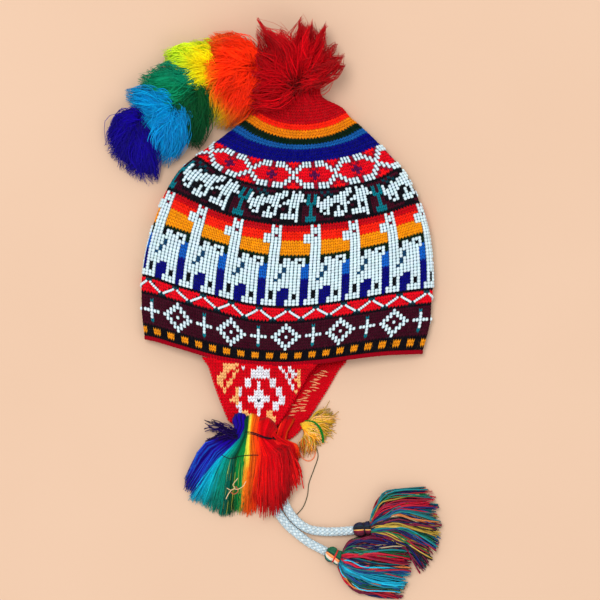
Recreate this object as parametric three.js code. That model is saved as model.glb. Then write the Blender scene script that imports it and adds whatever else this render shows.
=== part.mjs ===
// A chullo: a knitted hat with ear flaps, lying flat on its side as it is stored.
// Millimetres, +Z up. The hat lies on z = 0 with its mouth towards -Y and its
// pompom towards +Y. The origin is on the resting face, in the middle of the crown.

import * as THREE from 'three';
import { mergeVertices } from 'three/addons/utils/BufferGeometryUtils.js';

// ---------------------------------------------------------------- main sizes

const UNIT = 0.95;            // one drawing unit of the plan tables, in mm
const PLAN_X0 = 286;          // drawing point that lies on the origin
const PLAN_Y0 = 240;

const WALL = 3.0;             // knitted wall with its carried yarns
const GAP = 0.4;              // clearance between neighbouring pieces
const FOLD_REACH = 13;        // how far the side folds curve up from the floor
const FOLD_HEIGHT = 0.36;     // height of the side folds, as a share of the section

const EDGING_DEPTH = 4.2;     // crocheted ring, along the hat
const EDGING_SWELL = 0.5;     // how far it stands proud of the wall

const CORD_DIAMETER = 8.4;
const CORD_LIFT = 0.25;       // cords lie just above the floor
const FLOOR_CLEAR = 0.3;      // so does loose yarn

const AROUND = 44;            // points round the crown
const ROWS = 17;              // sections up the crown

// Crown sections from rim to neck. y_mid is where the row crosses the middle of
// the hat, the left and right ends lie on the side folds, height is the full
// height of the flattened section in mm. The bows say how a row rises from the
// middle to each end: shares of the whole rise at a quarter, a half and three
// quarters of the way.
const NECK_BOW = [0.05, 0.22, 0.53];
const CROWN = [
  { at: 'rim',         y_mid: 361.4, left: [144.0, 335.0], right: [423.2, 349.5], height: 22.0, bow_left: [0.06, 0.27, 0.65], bow_right: [0.18, 0.58, 0.90] },
  { at: 'diamonds',    y_mid: 341.0, left: [141.6, 312.5], right: [430.2, 323.5], height: 24.8, bow_left: [0.06, 0.31, 0.67], bow_right: [0.19, 0.53, 0.85] },
  { at: 'zigzag_foot', y_mid: 321.0, left: [141.3, 290.5], right: [431.5, 302.5], height: 27.0, bow_left: [0.065, 0.37, 0.69], bow_right: [0.20, 0.47, 0.79] },
  { at: 'llama_foot',  y_mid: 308.0, left: [142.0, 276.0], right: [432.8, 289.8], height: 28.8, bow_left: [0.08, 0.345, 0.65], bow_right: [0.165, 0.47, 0.786] },
  { at: 'llama_leg',   y_mid: 281.0, left: [146.3, 249.0], right: [431.8, 260.0], height: 31.4, bow_left: [0.08, 0.355, 0.67], bow_right: [0.11, 0.385, 0.70] },
  { at: 'llama_back',  y_mid: 256.2, left: [153.8, 222.5], right: [428.3, 232.0], height: 33.2, bow_left: [0.083, 0.365, 0.69], bow_right: [0.06, 0.30, 0.62] },
  { at: 'llama_neck',  y_mid: 242.5, left: [159.8, 206.0], right: [425.3, 219.8], height: 33.7, bow_left: [0.055, 0.25, 0.60], bow_right: [0.057, 0.242, 0.595] },
  { at: 'llama_ear',   y_mid: 225.0, left: [167.0, 189.0], right: [419.5, 202.0], height: 34.0, bow_left: [0.083, 0.272, 0.617], bow_right: [0.087, 0.26, 0.565] },
  { at: 'grazers',     y_mid: 207.0, left: [179.0, 170.5], right: [411.3, 183.5], height: 33.3, bow_left: [0.065, 0.24, 0.56], bow_right: [0.05, 0.22, 0.51] },
  { at: 'eyes_foot',   y_mid: 189.5, left: [195.5, 156.0], right: [401.0, 167.5], height: 32.0, bow_left: [0.044, 0.206, 0.50], bow_right: [0.01, 0.18, 0.444] },
  { at: 'eyes_top',    y_mid: 162.0, left: [216.0, 141.5], right: [380.0, 144.5], height: 29.0, bow_left: [0.05, 0.21, 0.51], bow_right: [0.08, 0.24, 0.54] },
  { at: 'blues',       y_mid: 143.0, left: [240.0, 123.0], right: [361.0, 126.0], height: 27.0, bow_left: NECK_BOW, bow_right: NECK_BOW },
  { at: 'yellows',     y_mid: 130.5, left: [251.0, 114.0], right: [350.0, 116.5], height: 26.0, bow_left: NECK_BOW, bow_right: NECK_BOW },
  { at: 'reds',        y_mid: 115.0, left: [259.0, 104.0], right: [341.0, 106.5], height: 24.0, bow_left: NECK_BOW, bow_right: NECK_BOW },
  { at: 'neck',        y_mid: 96.5,  left: [263.0, 95.8],  right: [320.8, 97.2],  height: 22.0, bow_left: NECK_BOW, bow_right: NECK_BOW },
];

// Ear flaps: where their sides meet the rim and the tip, how far the sides and
// the tip edge bow out, and the height of the middle of the cloth at the tip. The
// cloth falls from the rim to that height, soonest near the rim.
const FLAP_FALL = 1.6;
const FLAPS = {
  near: { rim: [207.0, 312.0], tip: [[229, 421], [278, 424]], side_bow: [1.5, 1.5], tip_bow: 7, tip_height: 8.0 },
  far:  { rim: [238.0, 342.5], tip: [[270, 431], [299, 431]], side_bow: [2.0, 2.0], tip_bow: 9, tip_height: 1.9 },
};

// Loose yarn that lies in bundles. Each row gives the two sides of the bundle in
// plan from its tied end to its cut end, how far the cut end bulges, the lowest
// and highest point of the yarn, and its colour.
const BUNDLES = [
  { name: 'tail_tuft_orange', bulge: 0, low: 0.3, high: 40, colour: 0xff5a12,
    a: [[206, 42], [203.5, 62], [205.5, 84], [207, 104], [213, 121]],
    b: [[250, 41], [255.5, 60], [252, 82], [248, 101], [240, 117]] },
  { name: 'tail_tuft_lime', bulge: 0, low: 0.3, high: 31, colour: 0xb4e02a,
    a: [[168, 52], [184, 45], [202, 45]],
    b: [[168, 64], [180, 86.3], [202, 83]] },
  { name: 'tail_tuft_green', bulge: 0, low: 0.3, high: 30, colour: 0x05804a,
    a: [[150, 67], [165, 68], [181, 92.5], [200, 92], [206, 117], [211, 137], [201, 148]],
    b: [[140, 84], [155, 94], [175, 102], [186, 114], [188, 128], [186, 138], [183, 146]] },
  { name: 'tail_tuft_blue', bulge: 0, low: 0.3, high: 30, colour: 0x0a8cd0,
    a: [[131, 92], [152, 98], [172, 106], [183, 118], [183.5, 138], [178, 159]],
    b: [[128.5, 105], [142, 117], [146, 127], [154, 141], [160, 153], [164, 163]] },
  { name: 'tail_tuft_indigo', bulge: 0, low: 0.3, high: 28, colour: 0x2a0a92,
    a: [[124, 111], [134, 112], [141, 124], [151, 143], [157, 157], [158, 170], [152, 180]],
    b: [[112, 122], [108, 134], [107, 147], [113, 160], [120, 169], [128, 176], [136, 181]] },

  { name: 'near_fringe_indigo', bulge: 3, low: 0.3, high: 15, colour: 0x24088c,
    a: [[232.5, 432.5], [204, 456], [186, 486]],
    b: [[242.5, 432.5], [226, 461], [203, 498]] },
  { name: 'near_fringe_turquoise', bulge: 3, low: 0.3, high: 17, colour: 0x0497b6,
    a: [[244, 432.5], [227.5, 461.5], [204.5, 498.5]],
    b: [[246.5, 432.5], [238, 470], [225.5, 508]] },
  { name: 'near_fringe_green', bulge: 2, low: 0.3, high: 18, colour: 0x0a8a4e,
    a: [[248, 432.5], [239.5, 470], [227, 508]],
    b: [[250.5, 432.5], [246.5, 471], [241, 509]] },
  { name: 'near_fringe_yellow', bulge: 2, low: 0.3, high: 18.5, colour: 0xf0b410,
    a: [[252, 432.5], [248, 471], [242.5, 509]],
    b: [[257, 432.5], [257, 471], [256.5, 510]] },
  { name: 'near_fringe_red', bulge: 4, low: 9.4, high: 25, colour: 0xe01010,
    a: [[258.5, 432.5], [258.5, 471], [258, 510]],
    b: [[277, 432.5], [296, 458], [301, 492]] },
  { name: 'far_fringe_red', bulge: 2, low: 0.3, high: 8.6, colour: 0xe23a12,
    a: [[287, 443], [289, 452], [293, 461]],
    b: [[299, 441], [301.5, 450], [303, 460]] },
  { name: 'far_fringe_yellow', bulge: 2, low: 0.3, high: 8.6, colour: 0xf0b83a,
    a: [[317, 417], [324, 415], [332, 413.5]],
    b: [[308.5, 434.5], [314, 440.5], [321, 445.5]] },

  { name: 'tassel_skirt_far', bulge: 13, low: 0.3, high: 19, colour: 0x2e5a6a,
    a: [[371.0, 520.5], [378, 507], [393, 494], [428, 488]],
    b: [[371.8, 535], [386, 538], [405, 541], [426, 567]] },
  { name: 'tassel_skirt_near', bulge: 13, low: 0.3, high: 20, colour: 0x1f7c86,
    a: [[344.2, 550], [353, 543.5], [376, 542.5], [402, 547]],
    b: [[337.4, 567.8], [345, 581], [361, 592], [386, 598]] },
];

// Pompom: distance from its centre to its outline at equal steps of angle,
// anticlockwise from +X.
const POMPOM = { centre: [296, 60], low: 0.3, high: 52, colour: 0xc80a14,
  reach: [47, 45, 42, 40, 39, 38, 43, 41, 38, 38, 38, 35.5, 33.5, 35.5, 39, 44] };

// White cords, from the flap tips to the tassel heads, on the floor.
const CORDS = [
  { name: 'tie_cord_near', route: [[263, 429.5], [262.8, 444], [263, 460], [264.3, 477], [268, 495], [276.6, 511],
    [286.4, 524.6], [296.4, 533.6], [308, 542.5], [318, 548], [326.5, 552.3]] },
  { name: 'tie_cord_far', route: [[281, 441.5], [278.8, 458], [278, 476], [281, 493], [286.4, 507.5],
    [295.6, 520.6], [308, 529.2], [323, 532], [339, 532], [354, 530.8]] },
];

// Bound knots: where the knot starts and ends along its cord, and its diameter in mm.
const HEADS = [
  { name: 'tassel_head_near', from: [327.4, 552.8], to: [339.6, 558.6], diameter: 15.5, colour: 0x2c6a50 },
  { name: 'tassel_head_far',  from: [355.0, 530.7], to: [369.6, 528.0], diameter: 14.0, colour: 0x3c2430 },
];

const FINISH = {
  crown:  { color: 0x8c1420, roughness: 0.9, metalness: 0 },
  edging: { color: 0xd81424, roughness: 0.9, metalness: 0 },
  flap:   { color: 0xbe0a18, roughness: 0.9, metalness: 0 },
  cord:   { color: 0xd4e0ea, roughness: 0.8, metalness: 0 },
};

// ------------------------------------------------------------------- helpers

const plan = ([x, y]) => new THREE.Vector2((x - PLAN_X0) * UNIT, (PLAN_Y0 - y) * UNIT);

// A smooth curve through rows of numbers, t from 0 to 1.
function spline(p, q, r, s, f) {
  return 0.5 * (2 * q + (r - p) * f + (2 * p - 5 * q + 4 * r - s) * f * f + (3 * q - p - 3 * r + s) * f * f * f);
}

function along(rows, t) {
  const n = rows.length - 1;
  const i = Math.min(n - 1, Math.floor(t * n));
  const row = (k) => rows[Math.max(0, Math.min(n, k))];
  const [p, q, r, s] = [row(i - 1), row(i), row(i + 1), row(i + 2)];
  return q.map((_, k) => spline(p[k], q[k], r[k], s[k], t * n - i));
}

// How far a row has risen at q, 0 in the middle and 1 at its end.
function bowed(shares, q) {
  const at = [0, ...shares, 1];
  const n = at.length - 1;
  const i = Math.min(n - 1, Math.floor(q * n));
  const [a, b, c, d] = [-1, 0, 1, 2].map((k) => at[Math.min(n, Math.abs(i + k))]);
  return spline(a, b, c, d, q * n - i);
}

// A closed body from points and triangles, turned so that its faces point out.
function body(points, triangles) {
  let volume = 0;
  for (const [a, b, c] of triangles) {
    volume += points[a].dot(new THREE.Vector3().crossVectors(points[b], points[c]));
  }
  const index = triangles.flatMap(([a, b, c]) => (volume < 0 ? [a, c, b] : [a, b, c]));
  const geometry = new THREE.BufferGeometry();
  geometry.setAttribute('position', new THREE.Float32BufferAttribute(points.flatMap((p) => p.toArray()), 3));
  geometry.setIndex(index);
  geometry.computeVertexNormals();
  return geometry;
}

// Joins closed rings of points in order. The ends are closed with a fan round
// their middle, the last one round endHub if given, or the last ring is joined
// back to the first.
function loft(rings, looped = false, endHub = null) {
  const n = rings[0].length;
  const points = rings.flat();
  const triangles = [];
  const join = (i, j) => {
    for (let k = 0; k < n; k++) {
      const m = (k + 1) % n;
      triangles.push([i * n + k, i * n + m, j * n + m], [i * n + k, j * n + m, j * n + k]);
    }
  };
  for (let i = 0; i + 1 < rings.length; i++) join(i, i + 1);
  if (looped) {
    join(rings.length - 1, 0);
  } else {
    for (const [i, turned] of [[0, true], [rings.length - 1, false]]) {
      const middle = rings[i].reduce((sum, p) => sum.add(p), new THREE.Vector3()).divideScalar(n);
      const hub = points.push(!turned && endHub ? endHub : middle) - 1;
      for (let k = 0; k < n; k++) {
        const m = (k + 1) % n;
        triangles.push(turned ? [hub, i * n + m, i * n + k] : [hub, i * n + k, i * n + m]);
      }
    }
  }
  return body(points, triangles);
}

// A sheet of even thickness on a grid of points, half above it and half below.
function slab(rows, thickness) {
  const wide = rows[0].length;
  const long = rows.length;
  const points = [1, -1].flatMap((side) => rows.flat().map((p) => p.clone().setZ(p.z + (side * thickness) / 2)));
  const triangles = [];
  const top = (j, i) => j * wide + i;
  const low = (j, i) => wide * long + j * wide + i;
  const quad = (a, b, c, d) => triangles.push([a, b, c], [a, c, d]);
  for (let j = 0; j + 1 < long; j++) {
    for (let i = 0; i + 1 < wide; i++) {
      quad(top(j, i), top(j, i + 1), top(j + 1, i + 1), top(j + 1, i));
      quad(low(j, i), low(j + 1, i), low(j + 1, i + 1), low(j, i + 1));
    }
    quad(top(j, 0), top(j + 1, 0), low(j + 1, 0), low(j, 0));
    quad(top(j, wide - 1), low(j, wide - 1), low(j + 1, wide - 1), top(j + 1, wide - 1));
  }
  for (let i = 0; i + 1 < wide; i++) {
    quad(top(0, i), low(0, i), low(0, i + 1), top(0, i + 1));
    quad(top(long - 1, i), top(long - 1, i + 1), low(long - 1, i + 1), low(long - 1, i));
  }
  return body(points, triangles);
}

const group = new THREE.Group();

function add(name, geometry, finish) {
  const mesh = new THREE.Mesh(geometry, new THREE.MeshStandardMaterial(finish));
  mesh.name = name;
  group.add(mesh);
  return mesh;
}

// --------------------------------------------------------------------- crown

const crownRows = CROWN.map(({ y_mid, left, right, height, bow_left, bow_right }) => {
  const l = plan(left);
  const r = plan(right);
  const y = plan([0, y_mid]).y;
  return [y, l.x, r.x, l.y - y, r.y - y, height, ...bow_left, ...bow_right];
});

// One section of the crown: a flat underside, rounded side folds and a low dome.
// inset moves it inwards by the wall, shift slides it along the hat.
function crownRing(t, inset = 0, shift = 0) {
  const [y, left, right, riseLeft, riseRight, height, ...bows] = along(crownRows, t);
  const middle = (left + right) / 2;
  const half = (right - left) / 2;
  const fold = FOLD_HEIGHT * height;
  const reach = Math.min(FOLD_REACH, half * 0.5);
  const top = AROUND / 2;
  const ring = [];
  for (let k = 0; k < AROUND; k++) {
    let s;
    let z;
    if (k <= top) {                       // over the top, right fold to left fold
      const angle = (Math.PI * k) / top;
      s = Math.cos(angle) * (half - inset);
      z = fold + (height - inset - fold) * Math.sin(angle);
    } else {                              // back along the underside
      const m = k - top;
      const low = AROUND - top;
      const bend = 4;                     // points in each lower fold
      const turn = (j) => (Math.PI / 2) * (j / bend);
      if (m < bend) {
        s = -(half - inset) + (reach - inset) * (1 - Math.cos(turn(m)));
        z = fold - (fold - inset) * Math.sin(turn(m));
      } else if (m > low - bend) {
        s = half - inset - (reach - inset) * (1 - Math.cos(turn(low - m)));
        z = fold - (fold - inset) * Math.sin(turn(low - m));
      } else {
        const f = (m - bend) / (low - 2 * bend);
        s = -(half - reach) + 2 * (half - reach) * f;
        z = inset;
      }
    }
    const q = s / (half - inset);
    const rise = q < 0 ? riseLeft * bowed(bows.slice(0, 3), -q) : riseRight * bowed(bows.slice(3), q);
    ring.push(new THREE.Vector3(middle + s, y + rise + shift, z));
  }
  return ring;
}

function crownShell() {
  const steps = [...Array(ROWS + 1).keys()].map((i) => i / ROWS);
  const outer = steps.map((t) => crownRing(t));
  const inner = steps.map((t) => crownRing(t * 0.985, WALL));
  const rings = [...outer.slice().reverse(), ...inner];
  return loft(rings);
}

add('crown', crownShell(), FINISH.crown);

// Crocheted ring round the mouth.
function edging() {
  const outside = crownRing(0);
  const inside = crownRing(0, WALL);
  const rings = outside.map((o, k) => {
    const i = inside[k];
    const out = new THREE.Vector3().subVectors(o, i).setY(0).normalize();
    const at = (base, swell, down) => {
      const p = base.clone().addScaledVector(out, swell);
      p.y -= GAP + down * EDGING_DEPTH;
      p.z = Math.max(p.z, 0);
      return p;
    };
    return [at(o, 0, 0), at(o, EDGING_SWELL, 0.5), at(o, 0, 1), at(i, 0, 1), at(i, -EDGING_SWELL, 0.5), at(i, 0, 0)];
  });
  return loft(rings, true);
}

add('rim_edging', edging(), FINISH.edging);

// --------------------------------------------------------------------- flaps

// Where the rim is at a given x, on the upper or the lower layer.
function rimAt(x, upper) {
  const layer = (ring) => (upper ? ring.slice(0, AROUND / 2 + 1).reverse() : [...ring.slice(AROUND / 2), ring[0]]);
  const cross = (ring) => {
    const line = layer(ring);
    const i = line.findIndex((p, k) => k + 1 < line.length && line[k + 1].x >= x);
    return line[i].clone().lerp(line[i + 1], (x - line[i].x) / (line[i + 1].x - line[i].x));
  };
  const [o, i] = [crownRing(0), crownRing(0, WALL)].map(cross);
  const z = upper ? (o.z + i.z) / 2 : WALL / 2 + CORD_LIFT;
  return new THREE.Vector3(x, Math.min(o.y, i.y) - EDGING_DEPTH - 2 * GAP - 0.2, z);
}

function flap({ rim, tip, side_bow, tip_bow, tip_height }, upper) {
  const across = 8;
  const down = 8;
  const [tipLeft, tipRight] = tip.map(plan);
  const [x0, x1] = rim.map((x) => plan([x, 0]).x);
  const rows = [];
  for (let j = 0; j <= down; j++) {
    const f = j / down;
    const row = [];
    for (let i = 0; i <= across; i++) {
      const g = i / across;
      const start = rimAt(THREE.MathUtils.lerp(x0, x1, g), upper);
      const end = tipLeft.clone().lerp(tipRight, g);
      end.y -= tip_bow * UNIT * (1 - (2 * g - 1) ** 2);
      const out = UNIT * THREE.MathUtils.lerp(-side_bow[0], side_bow[1], g);
      row.push(new THREE.Vector3(
        THREE.MathUtils.lerp(start.x, end.x, f) + out * Math.sin(Math.PI * f),
        THREE.MathUtils.lerp(start.y, end.y, f),
        THREE.MathUtils.lerp(tip_height, start.z, (1 - f) ** FLAP_FALL),
      ));
    }
    rows.push(row);
  }
  return slab(rows, WALL);
}

add('ear_flap_near', flap(FLAPS.near, true), FINISH.flap);
add('ear_flap_far', flap(FLAPS.far, false), FINISH.flap);

// ---------------------------------------------------------------- loose yarn

function bundle({ a, b, bulge, low, high }) {
  const sides = 12;
  const steps = 8;
  const first = a.map((p) => plan(p).toArray());
  const second = b.map((p) => plan(p).toArray());
  const rings = [];
  let endHub;
  for (let j = 0; j <= steps + 1; j++) {
    const t = Math.min(1, j / steps);
    const closing = j > steps ? 0.55 : 1;
    const start = j === 0 ? 0.8 : 1;
    const p = new THREE.Vector2(...along(first, t));
    const q = new THREE.Vector2(...along(second, t));
    const middle = p.clone().add(q).divideScalar(2);
    const span = q.clone().sub(p).multiplyScalar(0.5);
    const ahead = new THREE.Vector2(...along(first, Math.min(1, t + 0.01))).add(new THREE.Vector2(...along(second, Math.min(1, t + 0.01))))
      .sub(new THREE.Vector2(...along(first, Math.max(0, t - 0.01)))).sub(new THREE.Vector2(...along(second, Math.max(0, t - 0.01)))).normalize();
    const full = (high - low) / 2;
    const swell = full * (0.62 + 0.38 * Math.sin(Math.PI * (0.2 + 0.6 * t))) * start * closing;
    const ring = [];
    for (let k = 0; k < sides; k++) {
      const angle = (2 * Math.PI * k) / sides;
      const c = Math.cos(angle);
      const reach = bulge * UNIT * t * (1 - c * c) + (j > steps ? 1.2 : 0);
      const point = middle.clone().addScaledVector(span, c * closing).addScaledVector(ahead, reach);
      ring.push(new THREE.Vector3(point.x, point.y, low + swell + swell * Math.sin(angle)));
    }
    rings.push(ring);
    const furthest = middle.clone().addScaledVector(ahead, bulge * UNIT * t + 1.5);
    endHub = new THREE.Vector3(furthest.x, furthest.y, low + swell);
  }
  return loft(rings, false, endHub);
}

for (const row of BUNDLES) {
  add(row.name, bundle(row), { color: row.colour, roughness: 0.95, metalness: 0 });
}

function pompom({ centre, reach, low, high }) {
  const middle = plan(centre);
  const belts = 9;
  const rings = [];
  for (let j = 1; j < belts; j++) {
    const tilt = -Math.PI / 2 + (Math.PI * j) / belts;
    rings.push(reach.map((r, k) => {
      const angle = (2 * Math.PI * k) / reach.length;
      const out = r * UNIT * Math.cos(tilt) ** 0.7;
      return new THREE.Vector3(middle.x + out * Math.cos(angle), middle.y + out * Math.sin(angle),
        (low + high) / 2 + ((high - low) / 2) * Math.sin(tilt));
    }));
  }
  return loft(rings);
}

add('crown_pompom', pompom(POMPOM), { color: POMPOM.colour, roughness: 0.95, metalness: 0 });

// --------------------------------------------------------------------- cords

for (const { name, route } of CORDS) {
  const height = CORD_LIFT + CORD_DIAMETER / 2;
  const path = new THREE.CatmullRomCurve3(route.map((p) => {
    const q = plan(p);
    return new THREE.Vector3(q.x, q.y, height);
  }));
  const round = new THREE.Shape();
  round.absarc(0, 0, CORD_DIAMETER / 2, 0, 2 * Math.PI, false);
  const tube = new THREE.ExtrudeGeometry(round, { steps: 14, extrudePath: path, bevelEnabled: false, curveSegments: 10 });
  tube.deleteAttribute('normal');
  tube.deleteAttribute('uv');
  const closed = mergeVertices(tube, 1e-3);
  closed.computeVertexNormals();
  add(name, closed, FINISH.cord);
}

for (const { name, from, to, diameter, colour } of HEADS) {
  const start = plan(from);
  const end = plan(to);
  const length = start.distanceTo(end);
  const radius = diameter / 2;
  const profile = [[0, 0], [0.72, 0.02], [0.95, 0.2], [1, 0.45], [0.93, 0.75], [0.78, 0.93], [0.7, 1], [0, 1]]
    .map(([r, l]) => new THREE.Vector2(r * radius, l * length));
  const knot = add(name, new THREE.LatheGeometry(profile, 14), { color: colour, roughness: 0.95, metalness: 0 });
  knot.position.set(start.x, start.y, radius + FLOOR_CLEAR);
  knot.rotation.z = Math.atan2(end.y - start.y, end.x - start.x) - Math.PI / 2;
}

export default group;
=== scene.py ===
"""The looks of the chullo: knitted and beaded crown, ear flaps, tufts, fringes, cords and tassels.

All lengths in the tables are millimetres or plan units of 0.95 mm, the same as in the CAD source.
"""

import math

import bpy
import numpy as np
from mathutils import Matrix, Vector


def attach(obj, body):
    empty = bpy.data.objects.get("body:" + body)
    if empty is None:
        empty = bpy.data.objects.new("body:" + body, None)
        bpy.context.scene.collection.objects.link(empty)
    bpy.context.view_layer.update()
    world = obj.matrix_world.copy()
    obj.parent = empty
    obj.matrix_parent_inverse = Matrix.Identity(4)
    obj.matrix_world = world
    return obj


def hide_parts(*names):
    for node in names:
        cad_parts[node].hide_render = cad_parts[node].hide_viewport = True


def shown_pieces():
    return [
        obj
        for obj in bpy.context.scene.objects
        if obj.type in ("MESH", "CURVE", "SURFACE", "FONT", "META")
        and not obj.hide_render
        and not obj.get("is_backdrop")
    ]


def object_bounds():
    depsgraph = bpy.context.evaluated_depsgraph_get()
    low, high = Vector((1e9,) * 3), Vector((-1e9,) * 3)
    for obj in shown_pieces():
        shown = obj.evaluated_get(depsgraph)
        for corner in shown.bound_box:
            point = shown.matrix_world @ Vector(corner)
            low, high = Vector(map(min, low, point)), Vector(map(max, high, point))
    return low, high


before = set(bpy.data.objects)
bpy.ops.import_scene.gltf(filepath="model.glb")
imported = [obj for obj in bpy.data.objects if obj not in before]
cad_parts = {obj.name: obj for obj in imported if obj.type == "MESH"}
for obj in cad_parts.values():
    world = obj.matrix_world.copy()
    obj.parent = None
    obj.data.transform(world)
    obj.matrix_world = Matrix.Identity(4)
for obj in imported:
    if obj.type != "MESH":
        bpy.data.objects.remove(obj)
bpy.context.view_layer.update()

MM = 0.001
UNIT = 0.95
PI = math.pi
FLOOR = 0.04                      # nothing lies lower than this, in mm


# ------------------------------------------------------------------ small helpers

def lin(r, g, b):
    c = np.array([r, g, b], float) / 255.0
    return np.where(c <= 0.04045, c / 12.92, ((c + 0.055) / 1.055) ** 2.4)


def plan(p):
    p = np.asarray(p, float)
    return np.stack([(p[..., 0] - 286.0) * UNIT, (240.0 - p[..., 1]) * UNIT], -1)


def along(rows, t):
    """A smooth curve through rows of numbers, t from 0 to 1."""
    rows = np.asarray(rows, float)
    t = np.asarray(t, float)
    n = len(rows) - 1
    i = np.clip(np.floor(t * n).astype(int), 0, n - 1)
    f = (t * n - i)[..., None]
    p, q, r, s = (rows[np.clip(i + k, 0, n)] for k in (-1, 0, 1, 2))
    return 0.5 * (2 * q + (r - p) * f + (2 * p - 5 * q + 4 * r - s) * f * f
                  + (3 * q - p - 3 * r + s) * f ** 3)


def unit(v):
    return v / np.maximum(np.linalg.norm(v, axis=-1, keepdims=True), 1e-9)


def smooth(a, b, x):
    f = np.clip((x - a) / (b - a), 0, 1)
    return f * f * (3 - 2 * f)


def polyline(points, s):
    """Points at fractions s of a polyline's length."""
    points = np.asarray(points, float)
    d = np.r_[0, np.cumsum(np.linalg.norm(np.diff(points, axis=0), axis=1))]
    d = d / d[-1]
    return np.stack([np.interp(s, d, points[:, k]) for k in range(points.shape[1])], -1)


# ---------------------------------------------------------------- camera and light

scene = bpy.context.scene
scene.view_settings.view_transform = "Standard"
scene.view_settings.look = "None"

LENS = 300.0
cam_data = bpy.data.cameras.new("camera")
cam_data.type = "PERSP"
cam_data.lens = LENS
cam_data.sensor_width = 36.0
cam_data.clip_end = 100.0
camera = bpy.data.objects.new("camera", cam_data)
scene.collection.objects.link(camera)
middle = plan([300.0, 300.0])
reach = 300.0 * UNIT * LENS / 18.0
camera.location = (middle[0] * MM, middle[1] * MM, (reach + 16.0) * MM)
camera.rotation_euler = (0, 0, 0)
scene.camera = camera


def area_light(name, place, aim, size, watts, colour=(1, 1, 1)):
    data = bpy.data.lights.new(name, "AREA")
    data.shape = "DISK"
    data.size = size
    data.energy = watts
    data.color = colour
    o = bpy.data.objects.new(name, data)
    scene.collection.objects.link(o)
    o.location = place
    o.rotation_euler = (Vector(aim) - Vector(place)).to_track_quat("-Z", "Y").to_euler()
    return o


area_light("key", (-1.4, 1.6, 6.3), (0.0, -0.05, 0.0), 3.1, 212.0, (1.0, 0.99, 0.97))
area_light("fill", (3.4, -3.0, 5.0), (0.0, -0.05, 0.0), 3.0, 36.0, (0.97, 0.985, 1.0))

world = bpy.data.worlds.new("world")
scene.world = world
world.use_nodes = True
world.node_tree.nodes["Background"].inputs["Color"].default_value = (1.0, 0.99, 0.98, 1)
world.node_tree.nodes["Background"].inputs["Strength"].default_value = 0.80


# --------------------------------------------------------------------- materials

def node(tree, kind, **values):
    n = tree.nodes.new(kind)
    for k, v in values.items():
        if hasattr(n, k):
            setattr(n, k, v)
        else:
            n.inputs[k].default_value = v
    return n


def yarn(name, grain=1300.0, low=0.72, high=1.16, bump=0.35, rough=0.86, sheen=0.25, spec=0.18):
    """Yarn of the colours kept on the mesh, mottled like spun fibre."""
    m = bpy.data.materials.new(name)
    m.use_nodes = True
    t = m.node_tree
    p = t.nodes["Principled BSDF"]
    col = node(t, "ShaderNodeAttribute", attribute_name="Col")
    where = node(t, "ShaderNodeTexCoord")
    fine = node(t, "ShaderNodeTexNoise", Scale=grain, Detail=3.0, Roughness=0.6)
    t.links.new(where.outputs["Object"], fine.inputs["Vector"])
    spread = node(t, "ShaderNodeMapRange")
    spread.inputs["From Min"].default_value = 0.3
    spread.inputs["From Max"].default_value = 0.7
    spread.inputs["To Min"].default_value = low
    spread.inputs["To Max"].default_value = high
    t.links.new(fine.outputs["Fac"], spread.inputs["Value"])
    tint = node(t, "ShaderNodeVectorMath", operation="SCALE")
    t.links.new(col.outputs["Color"], tint.inputs[0])
    t.links.new(spread.outputs["Result"], tint.inputs["Scale"])
    t.links.new(tint.outputs["Vector"], p.inputs["Base Color"])
    rise = node(t, "ShaderNodeBump", Strength=bump, Distance=0.0004)
    t.links.new(fine.outputs["Fac"], rise.inputs["Height"])
    t.links.new(rise.outputs["Normal"], p.inputs["Normal"])
    p.inputs["Roughness"].default_value = rough
    p.inputs["Specular IOR Level"].default_value = spec
    p.inputs["Sheen Weight"].default_value = sheen
    p.inputs["Sheen Roughness"].default_value = 0.45
    return m


def glass(name):
    """Opaque white seed beads: glossy, each a little different."""
    m = bpy.data.materials.new(name)
    m.use_nodes = True
    t = m.node_tree
    p = t.nodes["Principled BSDF"]
    col = node(t, "ShaderNodeAttribute", attribute_name="Col")
    where = node(t, "ShaderNodeTexCoord")
    cloud = node(t, "ShaderNodeTexNoise", Scale=420.0, Detail=2.0)
    t.links.new(where.outputs["Object"], cloud.inputs["Vector"])
    spread = node(t, "ShaderNodeMapRange")
    spread.inputs["To Min"].default_value = 0.93
    spread.inputs["To Max"].default_value = 1.05
    t.links.new(cloud.outputs["Fac"], spread.inputs["Value"])
    tint = node(t, "ShaderNodeVectorMath", operation="SCALE")
    t.links.new(col.outputs["Color"], tint.inputs[0])
    t.links.new(spread.outputs["Result"], tint.inputs["Scale"])
    t.links.new(tint.outputs["Vector"], p.inputs["Base Color"])
    p.inputs["Roughness"].default_value = 0.24
    p.inputs["Specular IOR Level"].default_value = 0.5
    p.inputs["Coat Weight"].default_value = 0.35
    p.inputs["Coat Roughness"].default_value = 0.12
    return m


def paper(name):
    m = bpy.data.materials.new(name)
    m.use_nodes = True
    t = m.node_tree
    p = t.nodes["Principled BSDF"]
    where = node(t, "ShaderNodeTexCoord")
    wide = node(t, "ShaderNodeTexNoise", Scale=3.0, Detail=3.0)
    t.links.new(where.outputs["Object"], wide.inputs["Vector"])
    ramp = node(t, "ShaderNodeValToRGB")
    ramp.color_ramp.elements[0].position = 0.3
    ramp.color_ramp.elements[1].position = 0.7
    ramp.color_ramp.elements[0].color = (0.690, 0.472, 0.335, 1)
    ramp.color_ramp.elements[1].color = (0.713, 0.494, 0.355, 1)
    t.links.new(wide.outputs["Fac"], ramp.inputs["Fac"])
    t.links.new(ramp.outputs["Color"], p.inputs["Base Color"])
    p.inputs["Roughness"].default_value = 0.9
    p.inputs["Specular IOR Level"].default_value = 0.1
    return m


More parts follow.
